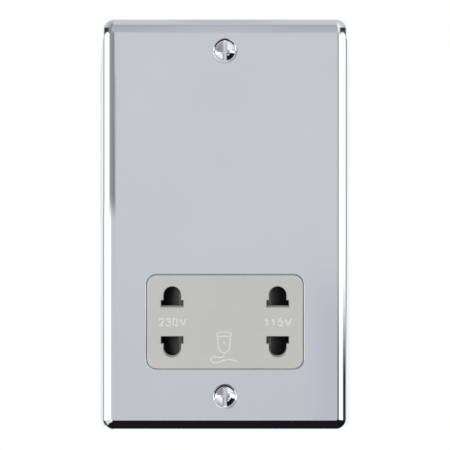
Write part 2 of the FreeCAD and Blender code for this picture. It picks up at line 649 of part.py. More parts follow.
def rear_cover():
    shell = box(-HALF_W, HALF_W, SPLIT_Y, COVER_REAR_Y, LOWER_TOP_Z, HOUSING_TOP)
    rounded = edges_where(shell, lambda p: near(p.y, COVER_REAR_Y))
    rounded += [e for e in shell.Edges if near(e.Length, COVER_REAR_Y - SPLIT_Y)]
    shell = shell.makeFillet(EDGE_R, rounded)
    shell = shell.cut(box(-INNER_HALF_W, INNER_HALF_W, SPLIT_Y, COVER_INNER_Y, LOWER_TOP_Z + HOUSING_WALL,
                          HOUSING_TOP - HOUSING_WALL))
    added = [rod(BOSS_R, SPLIT_Y, COVER_INNER_Y, x, z) for x, z in bosses()]
    added += [box(x - CORE_PAD / 2, x + CORE_PAD / 2, CORE_Y + CORE_STACK / 2, COVER_INNER_Y,
                  z - CORE_PAD / 2, z + CORE_PAD / 2) for x, z in core_pads()]
    shell = shell.multiFuse(added)
    for x, z in bosses():
        shell = shell.cut(rod(CLEAR_R, SPLIT_Y, COVER_REAR_Y, x, z))
    shell = shell.cut(rounded_prism(2 * (HALF_W - PANEL_INSET), HOUSING_TOP - LOWER_TOP_Z - 2 * PANEL_INSET,
                                    PANEL_CORNER_R, COVER_REAR_Y - PANEL_DEPTH, COVER_REAR_Y, 0,
                                    (HOUSING_TOP + LOWER_TOP_Z) / 2))
    return one(shell)


def terminal_cover():
    plate = box(-HALF_W, HALF_W, SPLIT_Y, TERMINAL_FRONT_Y, LOWER_BOTTOM_Z, LOWER_TOP_Z - FIT_GAP)
    plate = plate.makeFillet(EDGE_R, [e for e in plate.Edges if near(e.Length, TERMINAL_COVER_T)])
    half_w = TERMINAL_X + TERMINAL_W / 2 + POCKET_GAP + POCKET_WALL
    half_h = TERMINAL_H / 2 + POCKET_GAP + POCKET_WALL
    block = box(-half_w, half_w, TERMINAL_FRONT_Y, TERMINAL_BACK_Y, TERMINAL_Z - half_h, TERMINAL_Z + half_h)
    block = block.makeFillet(EDGE_R / 2, edges_where(block, lambda p: near(p.y, TERMINAL_BACK_Y)))
    cover = plate.fuse(block)
    for x in (TERMINAL_X, -TERMINAL_X):
        pocket_w = TERMINAL_W / 2 + POCKET_GAP
        pocket_h = TERMINAL_H / 2 + POCKET_GAP
        tail_w = TERMINAL_TAIL_W / 2 + FIT_GAP
        tail_h = TERMINAL_TAIL_T / 2 + FIT_GAP
        cover = cover.cut(box(x - pocket_w, x + pocket_w, TERMINAL_BLOCK_Y, TERMINAL_BACK_Y,
                              TERMINAL_Z - pocket_h, TERMINAL_Z + pocket_h))
        cover = cover.cut(box(x - tail_w, x + tail_w, SPLIT_Y, TERMINAL_BLOCK_Y, TERMINAL_Z - tail_h,
                              TERMINAL_Z + tail_h))
        cover = cover.cut(Part.makeCylinder(WIRE_ENTRY_R, POCKET_WALL, Vector(
            x, TERMINAL_BORE_Y, TERMINAL_Z - half_h), Vector(0, 0, 1)))
    for x in (BOSS_X, -BOSS_X):
        cover = cover.cut(rod(CLEAR_R, SPLIT_Y, TERMINAL_FRONT_Y, x, SHORT_BOSS_Z))
    return one(cover)


def terminal(x):
    # Brass block with a wire hole from below, a screw hole from behind and a tail to the inside
    block = box(x - TERMINAL_W / 2, x + TERMINAL_W / 2, TERMINAL_BLOCK_Y, TERMINAL_BACK_Y,
                TERMINAL_Z - TERMINAL_H / 2, TERMINAL_Z + TERMINAL_H / 2)
    tail = box(x - TERMINAL_TAIL_W / 2, x + TERMINAL_TAIL_W / 2, TERMINAL_BLOCK_Y - TERMINAL_TAIL_REACH,
               TERMINAL_BLOCK_Y, TERMINAL_Z - TERMINAL_TAIL_T / 2, TERMINAL_Z + TERMINAL_TAIL_T / 2)
    block = block.fuse(tail)
    block = block.cut(Part.makeCylinder(TERMINAL_BORE_R, TERMINAL_H, Vector(
        x, TERMINAL_BORE_Y, TERMINAL_Z - TERMINAL_H / 2), Vector(0, 0, 1)))
    return one(block.cut(rod(TERMINAL_SCREW_R + TERMINAL_SCREW_GAP, TERMINAL_BORE_Y, TERMINAL_BACK_Y,
                             x, TERMINAL_Z)))


def terminal_line():
    return terminal(-TERMINAL_X)


def terminal_neutral():
    return terminal(TERMINAL_X)


def terminal_screw(x, z, seat_y, bore_y):
    # Backed out so that its end is just clear of the wire hole
    head = rod(PAN_HEAD_R, seat_y, seat_y + PAN_HEAD_T, x, z)
    slot_y = seat_y + PAN_HEAD_T - PAN_SLOT_D
    head = head.cut(box(x - PAN_HEAD_R, x + PAN_HEAD_R, slot_y, seat_y + PAN_HEAD_T, z - PAN_SLOT_W / 2,
                        z + PAN_SLOT_W / 2))
    return one(head.fuse(rod(TERMINAL_SCREW_R, bore_y + TERMINAL_BORE_R + FIT_GAP, seat_y, x, z)))


def terminal_screws():
    return Part.makeCompound([terminal_screw(x, TERMINAL_Z, TERMINAL_BACK_Y + FIT_GAP, TERMINAL_BORE_Y)
                              for x in (TERMINAL_X, -TERMINAL_X)])


def earth_terminal():
    back = INNER_Y + EARTH_RISE
    half = EARTH_W / 2
    block = box(EARTH_X - half, EARTH_X + half, INNER_Y, back, EARTH_Z - half, EARTH_Z + half)
    block = block.cut(Part.makeCylinder(TERMINAL_BORE_R, EARTH_W, Vector(
        EARTH_X - half, back - EARTH_BORE_BACK, EARTH_Z), Vector(1, 0, 0)))
    return one(block.cut(rod(TERMINAL_SCREW_R + TERMINAL_SCREW_GAP, back - EARTH_BORE_BACK, back,
                             EARTH_X, EARTH_Z)))


def earth_screw():
    back = INNER_Y + EARTH_RISE
    return terminal_screw(EARTH_X, EARTH_Z, back + FIT_GAP, back - EARTH_BORE_BACK)


def transformer_core():
    y0, y1 = CORE_Y - CORE_STACK / 2, CORE_Y + CORE_STACK / 2
    core = box(-CORE_W / 2, CORE_W / 2, y0, y1, CORE_Z - CORE_H / 2, CORE_Z + CORE_H / 2)
    for way in (1, -1):
        ends = sorted((way * CORE_LEG / 2, way * (CORE_LEG / 2 + CORE_WINDOW_W)))
        core = core.cut(box(ends[0], ends[1], y0, y1, CORE_Z - CORE_WINDOW_H / 2, CORE_Z + CORE_WINDOW_H / 2))
    return one(core)


def ring(inner_x, inner_y, build, z0, z1):
    # A rectangular ring round the core's middle leg
    outer = box(-inner_x - build, inner_x + build, CORE_Y - inner_y - build, CORE_Y + inner_y + build,
                z0, z1)
    return one(outer.cut(box(-inner_x, inner_x, CORE_Y - inner_y, CORE_Y + inner_y, z0, z1)))


TUBE_X = CORE_LEG / 2 + BOBBIN_GAP
TUBE_Y = CORE_STACK / 2 + BOBBIN_GAP
WIND_X = TUBE_X + BOBBIN_WALL + SEAT_GAP
WIND_Y = TUBE_Y + BOBBIN_WALL + SEAT_GAP
FLANGE_BUILD = BOBBIN_WALL + COIL_BUILD + 2 * TAPE + 2 * SEAT_GAP
COIL_LOW_Z = CORE_Z - CORE_WINDOW_H / 2 + BOBBIN_GAP
COIL_HIGH_Z = CORE_Z + CORE_WINDOW_H / 2 - BOBBIN_GAP
CHAMBER_H = (COIL_HIGH_Z - COIL_LOW_Z - 3 * BOBBIN_FLANGE) / 2
PRIMARY_Z = COIL_LOW_Z + BOBBIN_FLANGE
SECONDARY_Z = PRIMARY_Z + CHAMBER_H + BOBBIN_FLANGE


def coil_bobbin():
    pieces = [ring(TUBE_X, TUBE_Y, BOBBIN_WALL, COIL_LOW_Z, COIL_HIGH_Z)]
    for z in (COIL_LOW_Z, PRIMARY_Z + CHAMBER_H, COIL_HIGH_Z - BOBBIN_FLANGE):
        pieces.append(ring(TUBE_X, TUBE_Y, FLANGE_BUILD, z, z + BOBBIN_FLANGE))
    return one(joined(pieces))


def winding(z):
    return ring(WIND_X, WIND_Y, COIL_BUILD, z + SEAT_GAP, z + CHAMBER_H - SEAT_GAP)


def tape(z):
    gap = COIL_BUILD + SEAT_GAP
    return ring(WIND_X + gap, WIND_Y + gap, TAPE, z + SEAT_GAP, z + CHAMBER_H - SEAT_GAP)


def primary_winding():
    return winding(PRIMARY_Z)


def secondary_winding():
    return winding(SECONDARY_Z)


def primary_tape():
    return tape(PRIMARY_Z)


def secondary_tape():
    return tape(SECONDARY_Z)


def coil_pins():
    # Two pins under the primary and three over the secondary
    foot_z = COIL_LOW_Z - COIL_PIN_LENGTH
    down = [Part.makeCylinder(COIL_PIN_R, COIL_PIN_LENGTH, Vector(x, COIL_PIN_Y, foot_z))
            for x in (0, COIL_PIN_X)]
    up = [Part.makeCylinder(COIL_PIN_R, COIL_PIN_LENGTH, Vector(x, COIL_PIN_Y, COIL_HIGH_Z))
          for x in (-COIL_PIN_X, 0, COIL_PIN_X)]
    return Part.makeCompound(down + up)


def switch_blade():
    return box(-BLADE_T / 2, BLADE_T / 2, BLADE_Y, BLADE_Y + BLADE_W, SOCKET_Z + BLADE_TIP,
               LOWER_TOP_Z + BLADE_TAB)


def switch_contact():
    # Two arms beside the blade, joined by a bridge in the upper compartment
    pieces = []
    top = LOWER_TOP_Z + BLADE_TAB
    bridge_y = BLADE_Y + BLADE_W + ANVIL_BRIDGE
    for way in (1, -1):
        x = way * ANVIL_X
        pieces.append(box(x - STRIP / 2, x + STRIP / 2, BLADE_Y, BLADE_Y + BLADE_W,
                          SOCKET_Z + ANVIL_TIP, top))
        pieces.append(box(x - STRIP / 2, x + STRIP / 2, BLADE_Y, bridge_y, LOWER_TOP_Z + STRIP, top))
        pieces.append(Part.makeCylinder(RIVET_R, RIVET_T, Vector(
            x - way * STRIP / 2, BLADE_Y + BLADE_W / 2, SOCKET_Z + RIVET_Z), Vector(-way, 0, 0)))
    pieces.append(box(-ANVIL_X - STRIP / 2, ANVIL_X + STRIP / 2, bridge_y - STRIP, bridge_y,
                      LOWER_TOP_Z + STRIP, top))
    return one(joined(pieces))


def thermal_cutout():
    body = box(CUTOUT_X - CUTOUT_W / 2, CUTOUT_X + CUTOUT_W / 2, CUTOUT_FRONT_Y, CUTOUT_FRONT_Y + CUTOUT_D,
               LOWER_TOP_Z, LOWER_TOP_Z + CUTOUT_H)
    top = LOWER_TOP_Z + CUTOUT_H
    return one(body.makeFillet(CUTOUT_EDGE_R, edges_where(body, lambda p: near(p.z, top))))


def lead(points):
    # Round lead along straight runs joined by tangent arcs
    points = [Vector(*p) for p in points]
    edges = []
    start = points[0]
    for before, corner, after in zip(points, points[1:], points[2:]):
        u = (corner - before).normalize()
        v = (after - corner).normalize()
        half_turn = u.getAngle(v) / 2
        room = 0.45 * min((corner - before).Length, (after - corner).Length)
        radius = min(LEAD_BEND, room / math.tan(half_turn))
        trim = radius * math.tan(half_turn)
        first, last = corner - u * trim, corner + v * trim
        centre = corner + (v - u).normalize() * (radius / math.cos(half_turn))
        middle = centre + (corner - centre).normalize() * radius
        edges.append(Part.LineSegment(start, first).toShape())
        edges.append(Part.Arc(first, middle, last).toShape())
        start = last
    edges.append(Part.LineSegment(start, points[-1]).toShape())
    path = Part.Wire(edges)
    section = Part.Circle(points[0], points[1] - points[0], LEAD_D / 2).toShape()
    tube = one(path.makePipeShell([Part.Wire(section)], True, False))
    share = tube.Volume / (math.pi * LEAD_D ** 2 / 4 * path.Length)
    print("lead %.1f mm long, volume %.3f of its section times its length" % (path.Length, share))
    return tube


# Points that the leads share
TAIL_Y = TERMINAL_BLOCK_Y - TERMINAL_TAIL_REACH
BAY_Z = LOWER_TOP_Z + CUTOUT_H / 2  # run along the floor of the upper compartment
UNDER_CORE_Z = CORE_LOW_Z - LEAD_LOWER_DROP
LEAD_SIDE_X = INNER_HALF_W - LEAD_WALL_GAP
TAG_Y = WELL_BACK_Y - CONTACT_BACK - STRIP
TAG_Z = SOCKET_Z + DOME_TOP + TAG_REACH - CONTACT_END_GAP - LEAD_D / 2
PIN_LOW_Z = COIL_LOW_Z - COIL_PIN_LENGTH
PIN_HIGH_Z = COIL_HIGH_Z + COIL_PIN_LENGTH
CUTOUT_BACK_Y = CUTOUT_FRONT_Y + CUTOUT_D
LEAD_OVER_Z = PIN_HIGH_Z + LEAD_OVER_PIN
COMMON_X = TERMINAL_X - LEAD_COMMON_GAP
COMMON_Y = LEAD_LOW_Y - LEAD_D / 2


def lead_line():
    x = CUTOUT_X + CUTOUT_LEG_X
    return lead([(-TERMINAL_X, TAIL_Y, TERMINAL_Z), (-TERMINAL_X, LEAD_LOW_Y, TERMINAL_Z),
                 (x, LEAD_LOW_Y, BAY_Z), (x, CUTOUT_BACK_Y, BAY_Z)])


def lead_switch():
    x = CUTOUT_X - CUTOUT_LEG_X
    bridge_y = BLADE_Y + BLADE_W + ANVIL_BRIDGE
    turn_y = bridge_y + 2 * LEAD_D
    return lead([(x, CUTOUT_BACK_Y, BAY_Z), (x, turn_y, BAY_Z), (-ANVIL_X / 2, turn_y, BAY_Z),
                 (-ANVIL_X / 2, bridge_y, BAY_Z)])


def lead_primary():
    y = BLADE_Y + BLADE_W / 2
    return lead([(0, y, LOWER_TOP_Z + BLADE_TAB), (0, y, UNDER_CORE_Z), (0, COIL_PIN_Y, UNDER_CORE_Z),
                 (0, COIL_PIN_Y, PIN_LOW_Z)])


def lead_neutral():
    return lead([(TERMINAL_X, TAIL_Y, TERMINAL_Z), (TERMINAL_X, LEAD_LOW_Y, TERMINAL_Z),
                 (COIL_PIN_X, LEAD_LOW_Y, UNDER_CORE_Z), (COIL_PIN_X, COIL_PIN_Y, UNDER_CORE_Z),
                 (COIL_PIN_X, COIL_PIN_Y, PIN_LOW_Z)])


def outlet_lead(way):
    # From the secondary, down beside the core and through the window to the tag of an upper contact
    drop_z = CORE_LOW_Z - LEAD_BEND
    window_y = LEAD_LOW_Y - LEAD_D
    return lead([(way * COIL_PIN_X, COIL_PIN_Y, PIN_HIGH_Z), (way * COIL_PIN_X, COIL_PIN_Y, LEAD_OVER_Z),
                 (way * LEAD_SIDE_X, COIL_PIN_Y - LEAD_D, LEAD_OVER_Z),
                 (way * LEAD_SIDE_X, COIL_PIN_Y - LEAD_D, drop_z),
                 (way * OUTLET_X, window_y, UNDER_CORE_Z), (way * OUTLET_X, window_y, TAG_Z),
                 (way * OUTLET_X, TAG_Y, TAG_Z)])


def lead_230():
    return outlet_lead(-1)


def lead_115():
    return outlet_lead(1)


def lead_common():
    over_z = LEAD_OVER_Z + 1.5 * LEAD_D
    side_y = COIL_PIN_Y + LEAD_D
    drop_z = CORE_LOW_Z - LEAD_UPPER_DROP
    link_z = SOCKET_Z - (DOME_TOP - CONTACT_END_GAP + TAG_REACH) + LINK_W / 2
    return lead([(0, COIL_PIN_Y, PIN_HIGH_Z), (0, COIL_PIN_Y, over_z), (LEAD_SIDE_X, side_y, over_z),
                 (LEAD_SIDE_X, side_y, drop_z), (COMMON_X, CORE_Y, drop_z),
                 (COMMON_X, COMMON_Y, drop_z - LEAD_D), (COMMON_X, COMMON_Y, link_z),
                 (COMMON_X, TAG_Y, link_z)])


PIECES = [front_plate, socket_insert, fixing_screws, shutter_slide, shutter_spring_left,
          shutter_spring_right, contact_carrier, contact_230, contact_115, contact_common, front_housing,
          plate_nuts, rear_cover, cover_screws, terminal_cover, terminal_cover_screws, terminal_line,
          terminal_neutral, terminal_screws, earth_terminal, earth_screw, transformer_core, coil_bobbin,
          primary_winding, secondary_winding, primary_tape, secondary_tape, coil_pins, switch_blade,
          switch_contact, thermal_cutout, lead_line, lead_switch, lead_primary, lead_neutral, lead_230,
          lead_115, lead_common]


def main():
    os.makedirs("parts", exist_ok=True)
    for piece in PIECES:
        shape = piece()
        if not shape.isValid():
            raise ValueError(piece.__name__ + " is not a valid solid")
        shape.exportStep(os.path.join("parts", piece.__name__ + ".step"))


main()
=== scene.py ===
import json
import math

import bmesh
import bpy
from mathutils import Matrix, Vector


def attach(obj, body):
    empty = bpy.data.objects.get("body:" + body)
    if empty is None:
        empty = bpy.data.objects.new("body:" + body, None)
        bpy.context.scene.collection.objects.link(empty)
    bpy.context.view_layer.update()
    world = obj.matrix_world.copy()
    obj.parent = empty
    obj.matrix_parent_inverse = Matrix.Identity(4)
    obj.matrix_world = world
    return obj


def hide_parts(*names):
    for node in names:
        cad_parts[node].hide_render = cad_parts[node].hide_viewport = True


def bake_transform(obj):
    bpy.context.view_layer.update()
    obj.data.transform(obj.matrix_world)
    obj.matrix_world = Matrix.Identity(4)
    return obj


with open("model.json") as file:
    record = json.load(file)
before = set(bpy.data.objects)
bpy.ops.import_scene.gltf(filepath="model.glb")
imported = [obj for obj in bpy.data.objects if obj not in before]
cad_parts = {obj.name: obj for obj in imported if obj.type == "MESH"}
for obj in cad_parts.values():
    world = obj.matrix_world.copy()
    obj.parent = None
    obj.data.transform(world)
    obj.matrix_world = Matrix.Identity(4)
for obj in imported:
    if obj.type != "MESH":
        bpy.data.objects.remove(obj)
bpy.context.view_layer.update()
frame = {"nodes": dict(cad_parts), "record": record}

mm = 0.001
weld = 1e-6  # verts this close together, in metres, count as one
aligned = 0.99  # cosine from which an edge or a face's normal lies along an axis
square = 0.1  # cosine below which a face's normal lies across an axis
axisX, axisY = 0, 1
crease = 40  # faces that meet at less than this angle, in degrees, are shaded as one
print("frame loaded:", len(frame["nodes"]), "nodes")


# small helpers

def objectMode():
    if bpy.context.object and bpy.context.object.mode != "OBJECT":
        bpy.ops.object.mode_set(mode="OBJECT")


def clearPick():
    objectMode()
    bpy.ops.object.select_all(action="DESELECT")


def makeActive(obj):
    clearPick()
    obj.select_set(True)
    bpy.context.view_layer.objects.active = obj


def editAll(obj):  # edit mode, with the whole mesh picked
    makeActive(obj)
    bpy.ops.object.mode_set(mode="EDIT")
    bpy.ops.mesh.select_all(action="SELECT")


def named(name):  # names the piece just added and puts its place in its mesh
    obj = bpy.context.object
    obj.name = obj.data.name = name
    bpy.ops.object.transform_apply(location=True, rotation=True, scale=True)
    return obj


def addBlock(name, size, centre):
    clearPick()
    bpy.ops.mesh.primitive_cube_add(size=mm, location=Vector(centre) * mm)
    bpy.context.object.scale = size
    return named(name)


def choose(obj, kind, test):  # edit mode, with only the matching edges or faces picked
    makeActive(obj)
    bpy.ops.object.mode_set(mode="EDIT")
    bpy.ops.mesh.select_mode(type=kind)
    bpy.ops.mesh.select_all(action="DESELECT")
    mesh = bmesh.from_edit_mesh(obj.data)
    for part in mesh.edges if kind == "EDGE" else mesh.faces:
        if test(part):
            part.select_set(True)
    bmesh.update_edit_mesh(obj.data)


def every(part):
    return True


def along(edge, axis):
    run = edge.verts[1].co - edge.verts[0].co
    return abs(run[axis]) > aligned * run.length


def atLevel(part, axis, level):  # every vert of an edge or face lies at that level, in mm
    return all(abs(v.co[axis] - level * mm) < weld for v in part.verts)


def roundPicked(radius, segments):
    bpy.ops.mesh.bevel(offset=radius * mm, segments=segments, affect="EDGES", clamp_overlap=False)
    objectMode()


def deletePicked():
    bpy.ops.mesh.delete(type="FACE")
    objectMode()


def extrudePicked(step):
    bpy.ops.mesh.extrude_region_move(TRANSFORM_OT_translate={"value": Vector(step) * mm})


def applyModifier(obj, kind, **settings):
    makeActive(obj)
    step = obj.modifiers.new(kind.lower(), kind)
    for key, value in settings.items():
        setattr(step, key, value)
    bpy.ops.object.modifier_apply(modifier=step.name)


def cutWith(obj, tool):
    applyModifier(obj, "BOOLEAN", operation="DIFFERENCE", object=tool, solver="EXACT")
    bpy.data.objects.remove(tool, do_unlink=True)


def softenEdges(obj, width, segments, degrees):  # rounds the edges that are sharper than the angle
    applyModifier(obj, "BEVEL", width=width * mm, segments=segments, limit_method="ANGLE",
                  angle_limit=math.radians(degrees))


def windRound(obj, axis, steps, rise=0, turns=1):  # turns a section round an axis, as a ring or a helix
    applyModifier(obj, "SCREW", axis=axis, angle=2 * math.pi, steps=steps, render_steps=steps,
                  screw_offset=rise * mm, iterations=turns, use_merge_vertices=True, merge_threshold=weld)


def drawLine(name, points):  # a line of edges, drawn by extruding one vert
    clearPick()
    bpy.ops.mesh.primitive_plane_add(size=mm, location=Vector(points[0]) * mm)
    obj = named(name)
    bpy.ops.object.mode_set(mode="EDIT")
    bpy.ops.mesh.select_mode(type="VERT")
    bpy.ops.mesh.select_all(action="SELECT")
    bpy.ops.mesh.merge(type="CENTER")
    for here, there in zip(points, points[1:]):
        extrudePicked(Vector(there) - Vector(here))
    objectMode()
    return obj


def moveMesh(obj, move):
    editAll(obj)
    bpy.ops.transform.translate(value=Vector(move) * mm)
    objectMode()


def tidyMesh(obj, move=(0, 0, 0)):  # merges doubles, turns faces outwards and moves the mesh
    editAll(obj)
    bpy.ops.mesh.remove_doubles(threshold=weld)
    bpy.ops.mesh.normals_make_consistent(inside=False)
    moveMesh(obj, move)


def turned(name, profile, centre=(0, 0, 0), steps=72):  # profile of (radius, y) turned round Y
    obj = drawLine(name, [(r, y, 0) for r, y in profile])
    windRound(obj, "Y", steps)
    tidyMesh(obj, centre)
    return obj


def arc(centre, radius, start, end, count):  # points of an arc, angles in degrees
    turns = [math.radians(start + (end - start) * i / count) for i in range(count + 1)]
    return [(centre[0] + radius * math.cos(t), centre[1] + radius * math.sin(t)) for t in turns]


def joinTo(obj, *others):
    makeActive(obj)
    for other in others:
        other.select_set(True)
    bpy.ops.object.join()
    return obj


def copyOf(obj, name, move):
    makeActive(obj)
    bpy.ops.object.duplicate(linked=False)
    other = bpy.context.object
    other.name = other.data.name = name
    tidyMesh(other, move)
    return other


def softShade(obj):
    makeActive(obj)
    bpy.ops.object.shade_smooth_by_angle(angle=math.radians(crease))
    applyModifier(obj, "WEIGHTED_NORMAL", mode="FACE_AREA", weight=50, keep_sharp=True)


# finishes: shared effects first, then one material each

def newGroup(name, inputs, outputs):
    group = bpy.data.node_groups.new(name, "ShaderNodeTree")
    for label, value in inputs:
        socket = group.interface.new_socket(name=label, in_out="INPUT", socket_type="NodeSocketFloat")
        socket.default_value = value
    for label in outputs:
        group.interface.new_socket(name=label, in_out="OUTPUT", socket_type="NodeSocketFloat")
    return group, group.nodes.new("NodeGroupInput"), group.nodes.new("NodeGroupOutput")


def addNode(tree, kind, **settings):
    node = tree.nodes.new(kind)
    for key, value in settings.items():
        setattr(node, key, value)
    return node


def mathNode(tree, operation, first, second=None):
    node = addNode(tree, "ShaderNodeMath", operation=operation)
    for socket, value in zip(node.inputs, (first, second)):
        if isinstance(value, (int, float)):
            socket.default_value = value
        elif value is not None:
            tree.links.new(value, socket)
    return node.outputs[0]


def noiseNode(tree, vector, scale, detail, rough):
    node = addNode(tree, "ShaderNodeTexNoise")
    node.inputs["Detail"].default_value = detail
    node.inputs["Roughness"].default_value = rough
    tree.links.new(vector, node.inputs["Vector"])
    tree.links.new(scale, node.inputs["Scale"])
    return node.outputs["Fac"]


def grainGroup():  # moulded or rolled grain: a fine height, and slow patches for tone and gloss
    inputs = [("Grain Scale", 9000), ("Patch Scale", 90), ("Stretch", 1)]
    tree, inside, out = newGroup("surfaceGrain", inputs, ("Height", "Patch"))
    place = addNode(tree, "ShaderNodeTexCoord").outputs["Object"]
    shape = addNode(tree, "ShaderNodeCombineXYZ")
    tree.links.new(inside.outputs["Stretch"], shape.inputs["X"])
    shape.inputs["Y"].default_value = shape.inputs["Z"].default_value = 1
    stretched = addNode(tree, "ShaderNodeVectorMath", operation="MULTIPLY")
    tree.links.new(place, stretched.inputs[0])
    tree.links.new(shape.outputs[0], stretched.inputs[1])
    fine = noiseNode(tree, stretched.outputs[0], inside.outputs["Grain Scale"], detail=2.0, rough=0.6)
    patch = noiseNode(tree, place, inside.outputs["Patch Scale"], detail=4.0, rough=0.5)
    tree.links.new(fine, out.inputs["Height"])
    tree.links.new(patch, out.inputs["Patch"])
    return tree


def ribGroup():  # even lines across one axis, such as laminations or turns of wire
    inputs = [("Pitch", 0.0005), ("Along Y", 1), ("Along Z", 0)]
    tree, inside, out = newGroup("fineLines", inputs, ("Height", "Tone"))
    parts = addNode(tree, "ShaderNodeSeparateXYZ")
    tree.links.new(addNode(tree, "ShaderNodeTexCoord").outputs["Object"], parts.inputs[0])
    runs = [mathNode(tree, "MULTIPLY", parts.outputs[axis], inside.outputs["Along " + axis]) for axis in "YZ"]
    count = mathNode(tree, "DIVIDE", mathNode(tree, "ADD", *runs), inside.outputs["Pitch"])
    # each line has a broad top and falls steeply to the grooves beside it
    offCentre = mathNode(tree, "SUBTRACT", mathNode(tree, "FRACT", count), 0.5)
    outward = mathNode(tree, "MULTIPLY", mathNode(tree, "ABSOLUTE", offCentre), 2)
    height = mathNode(tree, "SUBTRACT", 1, mathNode(tree, "POWER", outward, 4))
    lineTone = addNode(tree, "ShaderNodeTexWhiteNoise", noise_dimensions="1D")
    tree.links.new(mathNode(tree, "FLOOR", count), lineTone.inputs["W"])
    tree.links.new(height, out.inputs["Height"])
    tree.links.new(lineTone.outputs["Value"], out.inputs["Tone"])
    return tree


surfaceGrain = grainGroup()
fineLines = ribGroup()
noiseSpan = (0.3, 0.7)  # most of a noise's values lie between these
plasticIndex = 1.5


def shadeNode(tree, factor, dark, light):
    ramp = addNode(tree, "ShaderNodeValToRGB")
    for stop, position, colour in zip(ramp.color_ramp.elements, noiseSpan, (dark, light)):
        stop.position = position
        stop.color = (*colour, 1)
    tree.links.new(factor, ramp.inputs[0])
    return ramp.outputs["Color"]


def spread(tree, factor, low, high):
    node = addNode(tree, "ShaderNodeMapRange")
    node.inputs["From Min"].default_value, node.inputs["From Max"].default_value = noiseSpan
    node.inputs["To Min"].default_value, node.inputs["To Max"].default_value = low, high
    tree.links.new(factor, node.inputs["Value"])
    return node.outputs[0]


def newFinish(name, look):
    # look: dark and light colours, gloss range, metal, grain, patch, bump in mm and its strength, stretch,
    # and lines by their pitch in mm and whether they follow Y or Z
    words = name.split("_")
    material = bpy.data.materials.new(words[0] + "".join(word.title() for word in words[1:]) + "Finish")
    material.use_nodes = True
    tree = material.node_tree
    shader = tree.nodes["Principled BSDF"]
    grain = addNode(tree, "ShaderNodeGroup", node_tree=surfaceGrain)
    grain.inputs["Grain Scale"].default_value = look["grain"]
    grain.inputs["Patch Scale"].default_value = look["patch"]
    grain.inputs["Stretch"].default_value = look.get("stretch", 1)
    tone, height = grain.outputs["Patch"], grain.outputs["Height"]
    if "lines" in look:
        pitch, alongY = look["lines"]
        lines = addNode(tree, "ShaderNodeGroup", node_tree=fineLines)
        lines.inputs["Pitch"].default_value = pitch * mm
        lines.inputs["Along Y"].default_value = alongY
        lines.inputs["Along Z"].default_value = 1 - alongY
        tone = mathNode(tree, "MULTIPLY", mathNode(tree, "ADD", tone, lines.outputs["Tone"]), 0.5)
        height = lines.outputs["Height"]
    tree.links.new(shadeNode(tree, tone, look["dark"], look["light"]), shader.inputs["Base Color"])
    tree.links.new(spread(tree, grain.outputs["Patch"], *look["gloss"]), shader.inputs["Roughness"])
    shader.inputs["Metallic"].default_value = look.get("metal", 0)
    shader.inputs["IOR"].default_value = plasticIndex
    bump = addNode(tree, "ShaderNodeBump")
    bump.inputs["Strength"].default_value = look.get("strength", 0.5)
    bump.inputs["Distance"].default_value = look["bump"] * mm
    tree.links.new(height, bump.inputs["Height"])
    tree.links.new(bump.outputs["Normal"], shader.inputs["Normal"])
    return material


